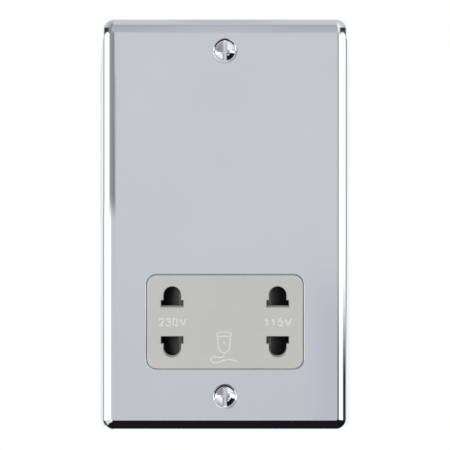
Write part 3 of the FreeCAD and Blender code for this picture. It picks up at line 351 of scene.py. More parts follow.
# chrome: mirror bright, with slow ripples left by pressing and polishing, and faint wipe marks
chromeLook = {"dark": (0.73, 0.75, 0.775), "light": (0.75, 0.77, 0.785), "gloss": (0.008, 0.022), "metal": 1,
              "grain": 45, "patch": 30, "bump": 0.003, "strength": 1.0, "stretch": 0.6}
leadLook = {"gloss": (0.3, 0.42), "grain": 3000, "patch": 200, "bump": 0.008}
looks = {
    "chrome_plate": chromeLook,
    "chrome_screw": {**chromeLook, "gloss": (0.02, 0.04), "grain": 300, "bump": 0.002},
    "grey_plastic": {"dark": (0.485, 0.485, 0.475), "light": (0.505, 0.505, 0.495), "gloss": (0.42, 0.5),
                     "grain": 6000, "patch": 60, "bump": 0.006},
    "black_plastic": {"dark": (0.062, 0.062, 0.063), "light": (0.085, 0.085, 0.086), "gloss": (0.3, 0.4),
                      "grain": 5000, "patch": 150, "bump": 0.004},
    "housing_plastic": {"dark": (0.024, 0.024, 0.026), "light": (0.036, 0.036, 0.038), "gloss": (0.45, 0.6),
                        "grain": 2600, "patch": 60, "bump": 0.02, "strength": 0.7},
    "zinc_steel": {"dark": (0.5, 0.5, 0.47), "light": (0.66, 0.66, 0.64), "gloss": (0.25, 0.42),
                   "metal": 1, "grain": 4000, "patch": 500, "bump": 0.004},
    "spring_steel": {"dark": (0.42, 0.42, 0.42), "light": (0.54, 0.54, 0.54), "gloss": (0.22, 0.34),
                     "metal": 1, "grain": 8000, "patch": 900, "bump": 0.003},
    "contact_brass": {"dark": (0.62, 0.43, 0.17), "light": (0.76, 0.56, 0.25), "gloss": (0.25, 0.4),
                      "metal": 1, "grain": 3000, "patch": 250, "bump": 0.004, "stretch": 0.1},
    "terminal_brass": {"dark": (0.6, 0.42, 0.16), "light": (0.74, 0.54, 0.23), "gloss": (0.2, 0.36),
                       "metal": 1, "grain": 3500, "patch": 300, "bump": 0.005, "lines": (0.16, 0)},
    "core_steel": {"dark": (0.13, 0.13, 0.14), "light": (0.27, 0.27, 0.28), "gloss": (0.35, 0.55),
                   "metal": 0.8, "grain": 2000, "patch": 220, "bump": 0.06, "lines": (0.5, 1)},
    "copper_wire": {"dark": (0.5, 0.19, 0.07), "light": (0.76, 0.34, 0.16), "gloss": (0.2, 0.32),
                    "metal": 1, "grain": 2000, "patch": 300, "bump": 0.06, "lines": (0.22, 0)},
    "bobbin_nylon": {"dark": (0.66, 0.63, 0.54), "light": (0.74, 0.72, 0.64), "gloss": (0.35, 0.48),
                     "grain": 4000, "patch": 120, "bump": 0.006},
    "coil_tape": {"dark": (0.68, 0.44, 0.05), "light": (0.78, 0.56, 0.1), "gloss": (0.12, 0.24),
                  "grain": 900, "patch": 180, "bump": 0.03, "lines": (2.6, 0)},
    "cutout_body": {"dark": (0.44, 0.4, 0.34), "light": (0.53, 0.49, 0.43), "gloss": (0.4, 0.52),
                    "grain": 4000, "patch": 200, "bump": 0.006},
    "lead_brown": {**leadLook, "dark": (0.1, 0.045, 0.022), "light": (0.15, 0.07, 0.036)},
    "lead_blue": {**leadLook, "dark": (0.022, 0.07, 0.27), "light": (0.035, 0.1, 0.36)},
    "lead_black": {**leadLook, "dark": (0.014, 0.014, 0.014), "light": (0.024, 0.024, 0.024)},
    "lead_red": {**leadLook, "dark": (0.34, 0.022, 0.018), "light": (0.45, 0.036, 0.03)},
    "plate_inside": {"dark": (0.4, 0.4, 0.4), "light": (0.55, 0.55, 0.54), "gloss": (0.3, 0.5),
                     "metal": 1, "grain": 1500, "patch": 60, "bump": 0.01},
    "pale_ink": {"dark": (0.64, 0.64, 0.635), "light": (0.7, 0.7, 0.695), "gloss": (0.4, 0.5),
                 "grain": 5000, "patch": 900, "bump": 0.003},
}
finishes = {name: newFinish(name, look) for name, look in looks.items()}

for part in frame["record"]["subparts"]:
    node = frame["nodes"][part["node"]]
    finish = finishes[part["material_slot"]]
    for place in node.material_slots:
        place.material = finish
    if not node.material_slots:
        node.data.materials.append(finish)
print("finishes made:", len(finishes))


def paint(obj, *materials):
    obj.data.materials.clear()
    for material in materials:
        obj.data.materials.append(material)


def dress(obj, slot, *materials):
    paint(obj, *(materials or (finishes[slot],)))


# chromed plate: one pressed sheet with a rounded edge, a window and two screw dimples

plateSizes = {"width": 88, "height": 147, "depth": 7, "sheet": 1, "corner": 5.3, "cornerSteps": 16,
              "shoulder": 5, "shoulderSteps": 24, "window": (54.8, 33), "windowZ": -34.2,
              "windowCorner": 3.6, "windowSteps": 12, "roll": 0.3, "rollSteps": 5, "toolDepth": 4,
              "toolOut": 1, "fixingZ": 60.3, "dimple": 3.85, "dimpleRoll": 1.3, "dimpleSteps": 12,
              "dimpleHole": 2, "dimpleRim": 5, "stud": 1.5, "studRoot": 0.5, "studEnd": -1.4,
              "studChamfer": 0.3, "studSteps": 32, "studX": 35.25, "studZ": 30}


def roundedBlock(name, size, centre, radius, segments):  # corners rounded round Y
    obj = addBlock(name, size, centre)
    choose(obj, "EDGE", lambda e: along(e, axisY))
    roundPicked(radius, segments)
    return obj


def pressedSheet(s, face):  # a tray that is open at the back
    size = (s["width"], s["depth"], s["height"])
    plate = roundedBlock("chromePlate", size, (0, face / 2, 0), s["corner"], s["cornerSteps"])
    choose(plate, "EDGE", lambda e: atLevel(e, axisY, face))
    roundPicked(s["shoulder"], s["shoulderSteps"])
    choose(plate, "FACE", lambda f: f.normal.y > aligned)
    deletePicked()
    dress(plate, "chrome_plate", finishes["chrome_plate"], finishes["plate_inside"])
    applyModifier(plate, "SOLIDIFY", thickness=s["sheet"] * mm, offset=-1, use_even_offset=True,
                  material_offset=1)
    return plate


def cutOpenings(plate, s, face):  # the window, and a round hole where each dimple is set in
    width, height = s["window"]
    tool = roundedBlock("windowTool", (width, s["toolDepth"], height), (0, face, s["windowZ"]),
                        s["windowCorner"], s["windowSteps"])
    cutWith(plate, tool)
    rim, front = s["dimpleRim"], face - s["toolOut"]
    back = front + s["toolDepth"]
    for z in (s["fixingZ"], -s["fixingZ"]):
        hole = turned("holeTool", [(0, front), (rim, front), (rim, back), (0, back)], (0, 0, z))
        cutWith(plate, hole)


def rollWindow(plate, s, face):
    slack = 0.01
    halfWidth, halfHeight = [(size / 2 + slack) * mm for size in s["window"]]

    def inWindow(point):
        return abs(point.x) < halfWidth and abs(point.z - s["windowZ"] * mm) < halfHeight

    choose(plate, "EDGE", lambda e: atLevel(e, axisY, face) and all(inWindow(v.co) for v in e.verts))
    roundPicked(s["roll"], s["rollSteps"])


def openRims(plate, s):  # takes the walls of the round holes away
    slack = 0.01

    def onRim(point):
        return abs(math.hypot(point.x, abs(point.z) - s["fixingZ"] * mm) - s["dimpleRim"] * mm) < slack * mm

    choose(plate, "FACE", lambda f: abs(f.normal.y) < square and all(onRim(v.co) for v in f.verts))
    deletePicked()


def screwDimple(s, face, z):  # its section runs from the back of the sheet round its nose to the face
    flank, turn = s["sheet"] * math.sqrt(2), s["dimpleRoll"] * math.tan(math.pi / 8)
    nose, back = face + s["dimple"] - s["dimpleHole"], face + s["sheet"]
    rolled = arc((s["dimple"] + turn, face + s["dimpleRoll"]), s["dimpleRoll"], 225, 270, s["dimpleSteps"])
    section = [(s["dimpleRim"], back), (s["dimple"] + flank - s["sheet"], back),
               (s["dimpleHole"] + flank, nose), (s["dimpleHole"], nose), *rolled, (s["dimpleRim"], face)]
    dimple = turned("dimple", section, (0, 0, z))
    paint(dimple, finishes["chrome_plate"])
    return dimple


def plateStud(s, face, x, z):
    root, chamfer = face + s["studRoot"], s["studChamfer"]
    section = [(0, root), (s["stud"], root), (s["stud"], s["studEnd"] - chamfer),
               (s["stud"] - chamfer, s["studEnd"]), (0, s["studEnd"])]
    stud = turned("stud", section, (x, 0, z), s["studSteps"])
    paint(stud, finishes["plate_inside"])
    return stud


def chromePlate(s):
    face = -s["depth"]
    plate = pressedSheet(s, face)
    cutOpenings(plate, s, face)
    rollWindow(plate, s, face)
    openRims(plate, s)
    joinTo(plate, *[screwDimple(s, face, way * s["fixingZ"]) for way in (1, -1)])
    tidyMesh(plate)
    places = [(side * s["studX"], way * s["studZ"]) for way in (1, -1) for side in (1, -1)]
    joinTo(plate, *[plateStud(s, face, x, z) for x, z in places])
    softShade(plate)
    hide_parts("front_plate")
    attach(plate, "socket")


chromePlate(plateSizes)
print("plate made")


# fixing screws: raised countersunk heads with a slot, and a cut thread behind the plate

screwSizes = {"top": -7.32, "rim": -6.7, "dome": 0.62, "domeSteps": 12, "head": 3.5, "headSteps": 96,
              "neck": 1.5, "slot": (1.0, 1.0), "soften": 0.07, "softenSteps": 3, "softenAngle": 35,
              "thread": 1.75, "root": 1.44, "pitch": 0.6, "crest": (0.4, 0.55), "groove": 0.95,
              "threadSteps": 28, "threadStart": 0.0, "overlap": 0.1, "point": 0.4, "pointBack": 1,
              "pointOver": 0.02, "pointTaper": 0.25, "pointChamfer": 0.3, "tip": 22.0, "z": 60.3}


def screwHead(s):
    ball = (s["head"] ** 2 + s["dome"] ** 2) / (2 * s["dome"])
    reach = math.degrees(math.asin(s["head"] / ball))
    dome = arc((0, s["top"] + ball), ball, -90, -90 + reach, s["domeSteps"])
    neckY, end = s["rim"] + s["head"] - s["neck"], s["threadStart"] + s["overlap"]
    section = [*dome, (s["head"], s["rim"]), (s["neck"], neckY), (s["neck"], end), (0, end)]
    screw = turned("fixingScrews", section, steps=s["headSteps"])
    width, depth = s["slot"]
    cutWith(screw, addBlock("slotTool", (width, 2 * depth, 3 * s["head"]), (0, s["top"], 0)))
    softenEdges(screw, s["soften"], s["softenSteps"], s["softenAngle"])
    return screw


def screwThread(s):
    start, pitch = s["threadStart"], s["pitch"]
    # one turn less, because the last one adds its own pitch
    turns = int((s["tip"] - start - s["point"]) / pitch) - 1
    crestStart, crestEnd = s["crest"]
    tooth = [(s["root"], 0), (s["thread"], crestStart), (s["thread"], crestEnd), (s["root"], s["groove"]),
             (s["root"], 1)]
    thread = drawLine("thread", [(radius, start + share * pitch, 0) for radius, share in tooth])
    windRound(thread, "Y", s["threadSteps"], pitch, turns)
    tidyMesh(thread)
    core, back = s["root"] + s["pointOver"], start + (turns + 1) * pitch - s["pointBack"]
    section = [(0, back), (core, back), (core, s["tip"] - s["pointChamfer"]),
               (s["root"] - s["pointTaper"], s["tip"]), (0, s["tip"])]
    return thread, turned("screwPoint", section, steps=s["threadSteps"])


def fixingScrews(s):
    screw = screwHead(s)
    joinTo(screw, *screwThread(s))
    lower = copyOf(screw, "lowerScrew", (0, 0, -s["z"]))
    moveMesh(screw, (0, 0, s["z"]))
    joinTo(screw, lower)
    dress(screw, "chrome_screw")
    softShade(screw)
    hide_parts("fixing_screws")
    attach(screw, "socket")


fixingScrews(screwSizes)
print("screws made")


# the two centring springs, round wire wound between the post and the slide's lugs

springSizes = {"near": 0.95, "far": 14.65, "coil": 1.3, "wire": 0.2, "wireSides": 12, "turns": 8, "steps": 36,
               "y": 3.2, "z": -34.2, "spare": 1.0}


def centringSprings(s):
    clearPick()
    bpy.ops.mesh.primitive_circle_add(vertices=s["wireSides"], radius=s["wire"] * mm,
                                      rotation=(math.pi / 2, 0, 0),
                                      location=((s["near"] + s["wire"]) * mm, 0, s["coil"] * mm))
    right = named("springRight")
    run = s["far"] - s["near"] - 2 * s["wire"]
    windRound(right, "X", s["steps"], run / s["turns"], s["turns"])
    editAll(right)
    bpy.ops.mesh.fill_holes(sides=0)
    tidyMesh(right, (0, s["y"], s["z"]))
    left = copyOf(right, "springLeft", (-s["near"] - s["far"], 0, 0))
    for obj, side, way in ((right, "right", 1), (left, "left", -1)):
        dress(obj, "spring_steel")
        makeActive(obj)
        bpy.ops.object.shade_smooth()
        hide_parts("shutter_spring_" + side)
        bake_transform(obj)


centringSprings(springSizes)
print("springs made")


# the thin blade that the slide's fork bends towards the switch contact

bladeSizes = {"thick": 0.4, "width": 4, "front": 8.5, "low": -26.7, "high": -11, "held": -18.23,
              "fork": -26.33, "corner": 0.48, "cornerSteps": 4, "soften": 0.08, "softenSteps": 2,
              "softenAngle": 40, "cuts": 30}


def switchBlade(s):
    height, middle = s["high"] - s["low"], s["front"] + s["width"] / 2
    blade = addBlock("switchBlade", (s["thick"], s["width"], height), (0, middle, (s["high"] + s["low"]) / 2))
    choose(blade, "EDGE", lambda e: along(e, axisX))
    roundPicked(s["corner"], s["cornerSteps"])
    for cut in range(1, s["cuts"]):
        level = s["low"] + height * cut / s["cuts"]
        choose(blade, "FACE", every)
        bpy.ops.mesh.bisect(plane_co=(0, 0, level * mm), plane_no=(0, 0, 1))
    objectMode()
    softenEdges(blade, s["soften"], s["softenSteps"], s["softenAngle"])
    tidyMesh(blade)
    dress(blade, "contact_brass")
    softShade(blade)
    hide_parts("switch_blade")
    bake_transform(blade)


switchBlade(bladeSizes)
print("switch blade made")


# pale print on the insert: the two voltages and a plain shaver sign with its cord

printSizes = {"face": -7.0, "thick": 0.03, "height": 3.05, "wordStroke": 0.62, "signStroke": 0.5,
              "figure": 2.0, "letter": 2.75, "space": 0.39, "words": [("230V", -18.15), ("115V", 18.4)],
              "wordZ": -34.25, "signX": -0.3, "signZ": -43.2, "order": 3, "curveSteps": 10, "roundSteps": 2}
glyphs = {  # strokes of each sign, as shares of its width and height, and whether they close
    "0": [([(0.5, 1), (0, 1), (0, 0.5), (0, 0), (0.5, 0), (1, 0), (1, 0.5), (1, 1)], True)],
    "1": [([(0.12, 0.76), (0.5, 0.78), (0.6, 1)], False), ([(0.6, 1), (0.6, 0)], False)],
    "2": [([(0.02, 0.7), (0.02, 1), (0.5, 1), (0.98, 1), (0.98, 0.66), (0.86, 0.42), (0, 0)], False),
          ([(0, 0), (1, 0)], False)],
    "3": [([(0.03, 0.76), (0.06, 1), (0.5, 1), (0.95, 1), (0.95, 0.77), (0.95, 0.54), (0.42, 0.54)], False),
          ([(0.42, 0.54), (1, 0.54), (1, 0.27), (1, 0), (0.5, 0), (0.02, 0), (0, 0.26)], False)],
    "5": [([(0.92, 1), (0.2, 1)], False), ([(0.2, 1), (0.07, 0.46)], False),
          ([(0.07, 0.46), (0.25, 0.65), (0.5, 0.65), (1, 0.65), (1, 0.32), (1, 0), (0.48, 0), (0.03, 0),
            (0, 0.24)], False)],
    "V": [([(0, 1), (0.5, 0)], False), ([(0.5, 0), (1, 1)], False)],
}
signLines = [  # outline of the shaver, its head, its switch, and the cord, in mm
    ([(-2.3, 4.6), (-2.5, 5.1), (-2.1, 5.5), (2.1, 5.5), (2.5, 5.1), (2.3, 4.6), (2.0, 0.4), (1.5, -1.2),
      (0, -1.9), (-1.5, -1.2), (-2.0, 0.4)], True),
    ([(-2.2, 4.0), (2.2, 4.0)], False),
    ([(0, 2.6), (0, 1.0)], False),
    ([(0, -1.9), (0, -3.0), (-1.2, -3.4), (-3.6, -3.0), (-4.9, -4.0), (-4.0, -5.3), (-2.0, -5.2), (0, -4.3),
      (2.4, -3.9), (4.9, -5.0)], False),
]


def inkLine(points, closed, stroke, s):  # one stroke of print: a round line, flattened onto the insert's face
    clearPick()
    bpy.ops.curve.primitive_nurbs_path_add()
    line = bpy.context.object
    line.data.splines.clear()
    spline = line.data.splines.new("NURBS")
    spline.points.add(len(points) - 1)
    for point, (x, z) in zip(spline.points, points):
        point.co = (x * mm, 0, z * mm, 1)
    spline.use_cyclic_u, spline.use_endpoint_u = closed, not closed
    spline.order_u = min(s["order"], len(points))
    spline.resolution_u = s["curveSteps"]
    line.data.dimensions = "3D"
    line.data.bevel_depth = stroke * mm / 2
    line.data.bevel_resolution = s["roundSteps"]
    line.data.use_fill_caps = True
    bpy.ops.object.convert(target="MESH")
    line = bpy.context.object
    editAll(line)
    bpy.ops.transform.resize(value=(1, s["thick"] / stroke, 1), center_override=(0, 0, 0))
    tidyMesh(line, (0, s["face"], 0))
    return line


def inkPiece(name, lines):
    piece = joinTo(*lines)
    piece.name = piece.data.name = name
    dress(piece, "grey_plastic", finishes["pale_ink"])
    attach(piece, "socket")


def voltageWords(s):
    stroke = s["wordStroke"]
    for word, middle in s["words"]:
        widths = [s["letter"] if sign.isalpha() else s["figure"] for sign in word]
        left = middle - (sum(widths) + s["space"] * (len(word) - 1)) / 2
        lines = []
        for sign, width in zip(word, widths):
            for points, closed in glyphs[sign]:
                placed = [(left + stroke / 2 + x * (width - stroke),
                           s["wordZ"] + (z - 0.5) * (s["height"] - stroke)) for x, z in points]
                lines.append(inkLine(placed, closed, stroke, s))
            left += width + s["space"]
        inkPiece("print" + word, lines)


def shaverSign(s):
    lines = []
    for points, closed in signLines:
        placed = [(x + s["signX"], z + s["signZ"]) for x, z in points]
        lines.append(inkLine(placed, closed, s["signStroke"], s))
    inkPiece("printSign", lines)


voltageWords(printSizes)
shaverSign(printSizes)
print("print made")


# studio: white surround for the camera, soft cards for the chrome, plain light for the rest

front = {"high": (0.738, 0.76, 0.774), "low": (0.696, 0.718, 0.741), "corner": (0.664, 0.646, 0.724)}
lavender = (0.77, 0.76, 0.8)
duller = (0.68, 0.67, 0.72)
cool = (0.55, 0.58, 0.59)
spotTone = (0.04, 0.04, 0.04)
cards = {  # stops of angle from the camera's side in degrees, and brightness or colour
    "leftHigh": [(3.9, 0.28), (7, 0.36), (30, 0.42), (36, 1.4), (76, 1.4), (81, 0.5), (88, 0.5), (96, 1.12)],
    "leftLow": [(3.9, front["low"]), (17, 0.8), (22, 1.4), (80, 1.4), (85, 0.5), (93, 0.48), (100, 1.12)],
    "rightHigh": [(5.4, 0.78), (7.5, 0.5), (17, 0.48), (22, 1.4), (78, 1.4), (82, 0.42), (92, 0.4),
                  (98, 1.2)],
    "rightLow": [(5.4, 0.75), (7.5, 0.2), (17, 0.18), (22, 1.4), (50, 1.4), (57, 0.05), (76, 0.03),
                 (84, 0.8), (92, 1.2)],
    "above": [(6.9, cool), (8.5, cool), (9, 0.48), (18, 0.5), (26, duller), (44, lavender), (69, lavender),
              (74, 1.3)],
    "aboveMiddle": [(6.9, (0.61, 0.63, 0.64)), (8.5, (0.62, 0.64, 0.65)), (9, 0.56), (18, 0.57),
                    (26, duller), (69, duller), (74, 1.3)],
    "aboveLeft": [(7, front["high"]), (9, front["high"]), (15, 0.42), (28, 0.34), (42, 0.5), (60, duller)],
    "aboveRight": [(7, front["high"]), (10, front["high"]), (17, 1.15), (34, 1.1), (50, lavender)],
    "below": [(7.2, 0.03), (14, 0.06), (22, 0.2), (34, 0.36), (48, 0.52), (62, 0.7), (76, 0.9), (80, 1.3)],
    "belowLeft": [(7.2, front["low"]), (10, front["low"]), (16, 1.3), (24, 1.2), (38, 0.7), (50, 0.4),
                  (66, 0.6), (74, 0.3), (79, 0.12), (85, 0.15), (91, 1.3)],
    "lowLeft": [(7.2, front["low"]), (10, front["low"]), (16, 1.3), (23, 1.25), (36, 0.8), (48, 1.0),
                (64, 1.0), (72, 0.3), (80, 0.12), (94, 0.1), (100, 1.2)],
    "belowRight": [(7.2, 0.3), (14, 0.35), (24, 0.8), (34, 0.75), (50, 0.5), (66, 0.6), (80, 0.6), (88, 1.3)],
    "lowRight": [(7.2, front["low"]), (14, front["low"]), (22, 1.2), (50, 0.9), (60, 0.3), (78, 0.24),
                 (86, 1.2)],
}
# where the large front card ends, in degrees, and how far each of these edges blurs
frontEnds = {"above": 6.94, "below": 7.25, "left": 3.98, "right": 5.4}
edgeBlur = 0.0003
# where each mask starts and is full: cones by their share of half a turn, the rest by the direction's parts
fades = {"frontDown": (-0.03, 0.12), "cornerRight": (0.045, 0.066), "cornerDown": (0.015, 0.06),
         "leftHigh": (0.0, 0.02), "rightHigh": (-0.1, -0.02), "farAside": (0.08, 0.22),
         "aboveCone": (0.32, 0.4), "offMiddle": (0.01, 0.05), "spotLeft": (0.45, 0.75),
         "spotRight": (0.3, 0.6), "spotTop": (0.13, 0.22), "spotCone": (0.4, 0.5),
         "wide": (-0.08, 0.08), "slant": (0.22, 0.42), "roundedEnd": (0.3, 0.42)}
slopes = {"wideLeft": 1.2, "wideRight": 1.4, "slant": 0.7}  # of the slanting masks below
bends = {"centre": 0.28, "reach": 0.155, "rise": 0.0018, "bow": 0.14}  # of the cards' curved edges


def cardRamp(tree, angle, stops):
    ramp = addNode(tree, "ShaderNodeValToRGB")
    band = ramp.color_ramp
    while len(band.elements) > 1:
        band.elements.remove(band.elements[-1])
    for i, (degrees, tone) in enumerate(stops):
        stop = band.elements[0] if i == 0 else band.elements.new(degrees / 180)
        stop.position = degrees / 180
        stop.color = (*(tone if isinstance(tone, tuple) else (tone,) * 3), 1)
    tree.links.new(angle, ramp.inputs[0])
    return ramp.outputs["Color"]


def stepNode(tree, value, low, high):  # 0 up to low, 1 from high on
    node = addNode(tree, "ShaderNodeMapRange", interpolation_type="SMOOTHSTEP")
    node.inputs["From Min"].default_value, node.inputs["From Max"].default_value = low, high
    tree.links.new(value, node.inputs["Value"])
    return node.outputs[0]


def mixColour(tree, factor, first, second):
    node = addNode(tree, "ShaderNodeMix", data_type="RGBA")
    tree.links.new(factor, node.inputs["Factor"])
    for socket, value in ((node.inputs["A"], first), (node.inputs["B"], second)):
        if isinstance(value, tuple):
            socket.default_value = (*value, 1)
        else:
            tree.links.new(value, socket)
    return node.outputs["Result"]


def mirroredCards(tree):  # what the chrome sees in each direction
    parts = addNode(tree, "ShaderNodeSeparateXYZ")
    tree.links.new(addNode(tree, "ShaderNodeTexCoord").outputs["Generated"], parts.inputs[0])
    x, y, z = parts.outputs

    def times(first, second):
        return mathNode(tree, "MULTIPLY", first, second)

    def minus(first, second):
        return mathNode(tree, "SUBTRACT", first, second)

    def share(angle):  # of half a turn
        return mathNode(tree, "DIVIDE", angle, math.pi)

    def past(name, value):  # a mask that is 1 beyond the fade
        return stepNode(tree, value, *fades[name])

    def within(name, value):  # a mask that is 1 up to the fade
        return minus(1, past(name, value))

    def beyond(name, value):  # a mask that steps sharply where the front card ends
        level = math.sin(math.radians(frontEnds[name]))
        return stepNode(tree, value, level - edgeBlur, level + edgeBlur)

    def ramp(name, angle):
        return cardRamp(tree, angle, cards[name])

    def mixed(mask, first, second):
        return mixColour(tree, mask, first, second)

    # angles from the camera's side: to either side, upwards, downwards, and all round
    left, down, toCamera = times(x, -1), times(z, -1), times(y, -1)
    aside = mathNode(tree, "ABSOLUTE", x)
    across, over, under = [share(mathNode(tree, "ARCTAN2", rise, toCamera)) for rise in (aside, z, down)]
    cone = share(mathNode(tree, "ARCCOSINE", toCamera))

    # the front card darkens a little downwards, and turns lavender at the lower right
    card = mixed(past("frontDown", down), front["high"], front["low"])
    card = mixed(times(past("cornerRight", x), past("cornerDown", down)), card, front["corner"])

    onLeft = mixed(past("leftHigh", z), ramp("leftLow", across), ramp("leftHigh", across))
    onRight = mixed(past("rightHigh", z), ramp("rightLow", across), ramp("rightHigh", across))
    tone = mixed(beyond("left", left), card, onLeft)
    tone = mixed(beyond("right", x), tone, onRight)

    # above: a band over the middle, duller to the left, white to the right, and a dark spot at each corner
    farLeft, farRight = past("farAside", left), past("farAside", x)
    near = within("aboveCone", cone)
    above = mixed(past("offMiddle", aside), ramp("aboveMiddle", over), ramp("above", over))
    above = mixed(times(farLeft, near), above, ramp("aboveLeft", cone))
    above = mixed(times(farRight, near), above, ramp("aboveRight", cone))
    spots = mathNode(tree, "MAXIMUM", past("spotLeft", left), past("spotRight", x))
    low = times(within("spotTop", z), within("spotCone", cone))
    above = mixed(times(spots, low), above, spotTone)

    # below: black under the middle, white or grey further to the sides
    wideLeft = past("wide", minus(left, times(down, slopes["wideLeft"])))
    wideRight = past("wide", minus(x, times(down, slopes["wideRight"])))
    slant = mathNode(tree, "ADD", times(x, slopes["slant"]), down)
    lowLeft = mixed(wideLeft, ramp("belowLeft", cone), ramp("lowLeft", cone))
    lowRight = mixed(past("slant", slant), front["low"], ramp("belowRight", cone))
    lowRight = mixed(wideRight, lowRight, ramp("lowRight", cone))
    below = mixed(farLeft, ramp("below", under), lowLeft)
    below = mixed(farRight, below, lowRight)

    # the side cards have slightly rounded upper ends, and the lower card a slightly bowed edge
    offCentre = mathNode(tree, "DIVIDE", minus(across, bends["centre"]), bends["reach"])
    rise = times(mathNode(tree, "POWER", offCentre, 2), bends["rise"])
    rounded = mathNode(tree, "ADD", z, times(rise, past("roundedEnd", aside)))
    tone = mixed(beyond("above", rounded), tone, above)
    bowed = minus(down, times(times(x, x), bends["bow"]))
    return mixed(beyond("below", bowed), tone, below)


# small black cards close to the chrome, which show only in reflections and only on the side facing the plate

cardTone = (0.013, 0.0125, 0.0155)
cardSteps = 24
lowCardSizes = {"y": -2, "z": -68.5, "radius": 6.5, "start": 1.6, "end": 49, "reach": 38.7, "cornerZ": -68.2,
                "leftTurn": 52, "rightTurn": 80, "cut": (-38.9, -68.75), "cutSlope": 40.6,
                "facing": (0, 0.7, 0.7), "leftFacing": (0.4, 0.7, 0.6), "rightFacing": (-0.4, 0.7, 0.6)}
ringCardSizes = {"radius": 3.3, "near": -6.78, "far": -8.2, "start": 35, "end": 160, "facing": (0, 0, 1)}
sideCardSizes = {"radius": 4.4, "near": -7.5, "upperFar": -13.6, "lowerFar": -12.2, "start": -76, "end": -14,
                 "facing": (-0.7, 0, 0.7)}


def newCardBlack():
    material = bpy.data.materials.new("cardBlack")
    material.use_nodes = True
    tree = material.node_tree
    black, clear = addNode(tree, "ShaderNodeEmission"), addNode(tree, "ShaderNodeBsdfTransparent")
    black.inputs["Color"].default_value = (*cardTone, 1)
    mixed = addNode(tree, "ShaderNodeMixShader")
    tree.links.new(addNode(tree, "ShaderNodeNewGeometry").outputs["Backfacing"], mixed.inputs["Fac"])
    tree.links.new(black.outputs[0], mixed.inputs[1])
    tree.links.new(clear.outputs[0], mixed.inputs[2])
    tree.links.new(mixed.outputs[0], tree.nodes["Material Output"].inputs["Surface"])
    return material


cardBlack = newCardBlack()


def blackCard(card, facing):
    objectMode()
    if sum(face.normal.dot(Vector(facing)) for face in card.data.polygons) < 0:
        choose(card, "FACE", every)
        bpy.ops.mesh.flip_normals()
        objectMode()
    paint(card, cardBlack)
    card.visible_camera = card.visible_diffuse = card.visible_transmission = card.visible_shadow = False


def cardLine(name, points):
    card = drawLine(name, points)
    choose(card, "EDGE", every)
    return card


def sweptCard(name, points, sweep, facing):
    card = cardLine(name, points)
    extrudePicked(sweep)
    blackCard(card, facing)


def screwCard(name, s, far, z):  # part of a sleeve in front of a screw
    turns = arc((0, z), s["radius"], s["start"], s["end"], cardSteps)
    sweptCard(name, [(x, s["near"], height) for x, height in turns], (0, far - s["near"], 0), s["facing"])


def cornerCard(name, places, s, turn):  # the lower card's line, turned round a corner of the plate
    card = cardLine(name, places)
    bpy.ops.mesh.spin(steps=cardSteps, angle=math.radians(turn), axis=(0, 1, 0),
                      center=Vector((places[0][0], 0, s["cornerZ"])) * mm)
    return card


def lowCards(s):  # a trough below the plate, and its turns round the lower corners
    turns = arc((s["y"], s["z"]), s["radius"], 180 + s["start"], 180 + s["end"], cardSteps)
    leftEnd, rightEnd = [[(way * s["reach"], y, z) for y, z in turns] for way in (-1, 1)]
    sweptCard("lowCard", leftEnd, (2 * s["reach"], 0, 0), s["facing"])
    blackCard(cornerCard("rightCornerCard", rightEnd, s, s["rightTurn"]), s["rightFacing"])
    left = cornerCard("leftCornerCard", leftEnd, s, -s["leftTurn"])
    choose(left, "FACE", every)
    slope, (cutX, cutZ) = math.radians(s["cutSlope"]), s["cut"]
    bpy.ops.mesh.bisect(plane_co=Vector((cutX, 0, cutZ)) * mm,
                        plane_no=(-math.sin(slope), 0, math.cos(slope)), clear_outer=True)
    blackCard(left, s["leftFacing"])


lowCards(lowCardSizes)
for end, z in (("upper", screwSizes["z"]), ("lower", -screwSizes["z"])):
    screwCard(end + "RingCard", ringCardSizes, ringCardSizes["far"], z)
    screwCard(end + "SideCard", sideCardSizes, sideCardSizes[end + "Far"], z)
print("small cards made")


# lights in watts at places in metres, the floor and the camera

studioLooks = {"surround": (1.0, 1.0, 1.0), "plainLight": (0.55, 0.55, 0.55), "floorZ": -0.4, "floorSize": 8,
               "floorTone": (0.85, 0.85, 0.85), "floorRough": 0.8, "lampSize": 0.5,
               "camera": (0, -0.557, -0.00045), "lens": 126.4, "sensor": 36}
lamps = {"keyLamp": ((-0.5, -0.75, 0.12), 3.75), "fillLamp": ((0.5, -0.7, 0.25), 1.0),
         "backLamp": ((0.3, 0.75, 0.5), 5.0)}


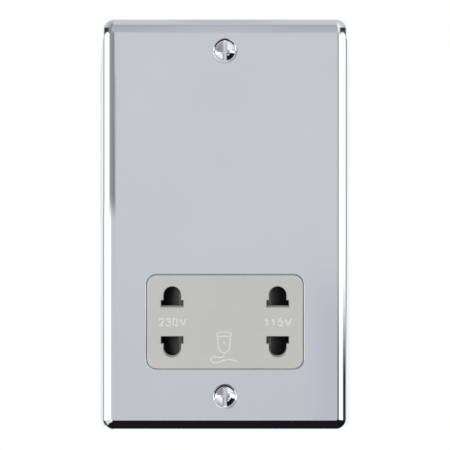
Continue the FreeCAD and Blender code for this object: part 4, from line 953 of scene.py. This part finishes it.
def surround(s):
    world = bpy.data.worlds.new("studio")
    bpy.context.scene.world = world
    world.use_nodes = True
    tree = world.node_tree
    path = addNode(tree, "ShaderNodeLightPath")
    mirror = mathNode(tree, "MAXIMUM", path.outputs["Is Glossy Ray"], path.outputs["Is Transmission Ray"])
    light = mixColour(tree, mirror, s["plainLight"], mirroredCards(tree))
    shown = mixColour(tree, path.outputs["Is Camera Ray"], light, s["surround"])
    tree.links.new(shown, tree.nodes["Background"].inputs["Color"])


def addLamp(name, place, watts, s):
    clearPick()
    bpy.ops.object.light_add(type="AREA", location=place)
    lamp = bpy.context.object
    lamp.name = name
    lamp.data.size = s["lampSize"]
    lamp.data.energy = watts
    lamp.rotation_euler = (-Vector(place)).to_track_quat("-Z", "Y").to_euler()
    lamp.visible_glossy = False


def paleFloor(s):  # catches light and shade, but looks white to the camera
    clearPick()
    bpy.ops.mesh.primitive_plane_add(size=s["floorSize"], location=(0, 0, s["floorZ"]))
    floor = bpy.context.object
    floor.name = "floor"
    floor.visible_glossy = False
    material = bpy.data.materials.new("paleFloor")
    material.use_nodes = True
    tree = material.node_tree
    shader = tree.nodes["Principled BSDF"]
    shader.inputs["Base Color"].default_value = (*s["floorTone"], 1)
    shader.inputs["Roughness"].default_value = s["floorRough"]
    mixed = addNode(tree, "ShaderNodeMixShader")
    tree.links.new(addNode(tree, "ShaderNodeLightPath").outputs["Is Camera Ray"], mixed.inputs["Fac"])
    tree.links.new(shader.outputs[0], mixed.inputs[1])
    tree.links.new(addNode(tree, "ShaderNodeEmission").outputs[0], mixed.inputs[2])
    tree.links.new(mixed.outputs[0], tree.nodes["Material Output"].inputs["Surface"])
    paint(floor, material)


def addCamera(s):
    clearPick()
    bpy.ops.object.camera_add(location=s["camera"], rotation=(math.pi / 2, 0, 0))
    camera = bpy.context.object
    camera.data.lens = s["lens"]
    camera.data.sensor_width = s["sensor"]
    bpy.context.scene.camera = camera


bpy.context.scene.view_settings.view_transform = "Standard"
surround(studioLooks)
for name, (place, watts) in lamps.items():
    addLamp(name, place, watts, studioLooks)
paleFloor(studioLooks)
addCamera(studioLooks)
print("studio made")
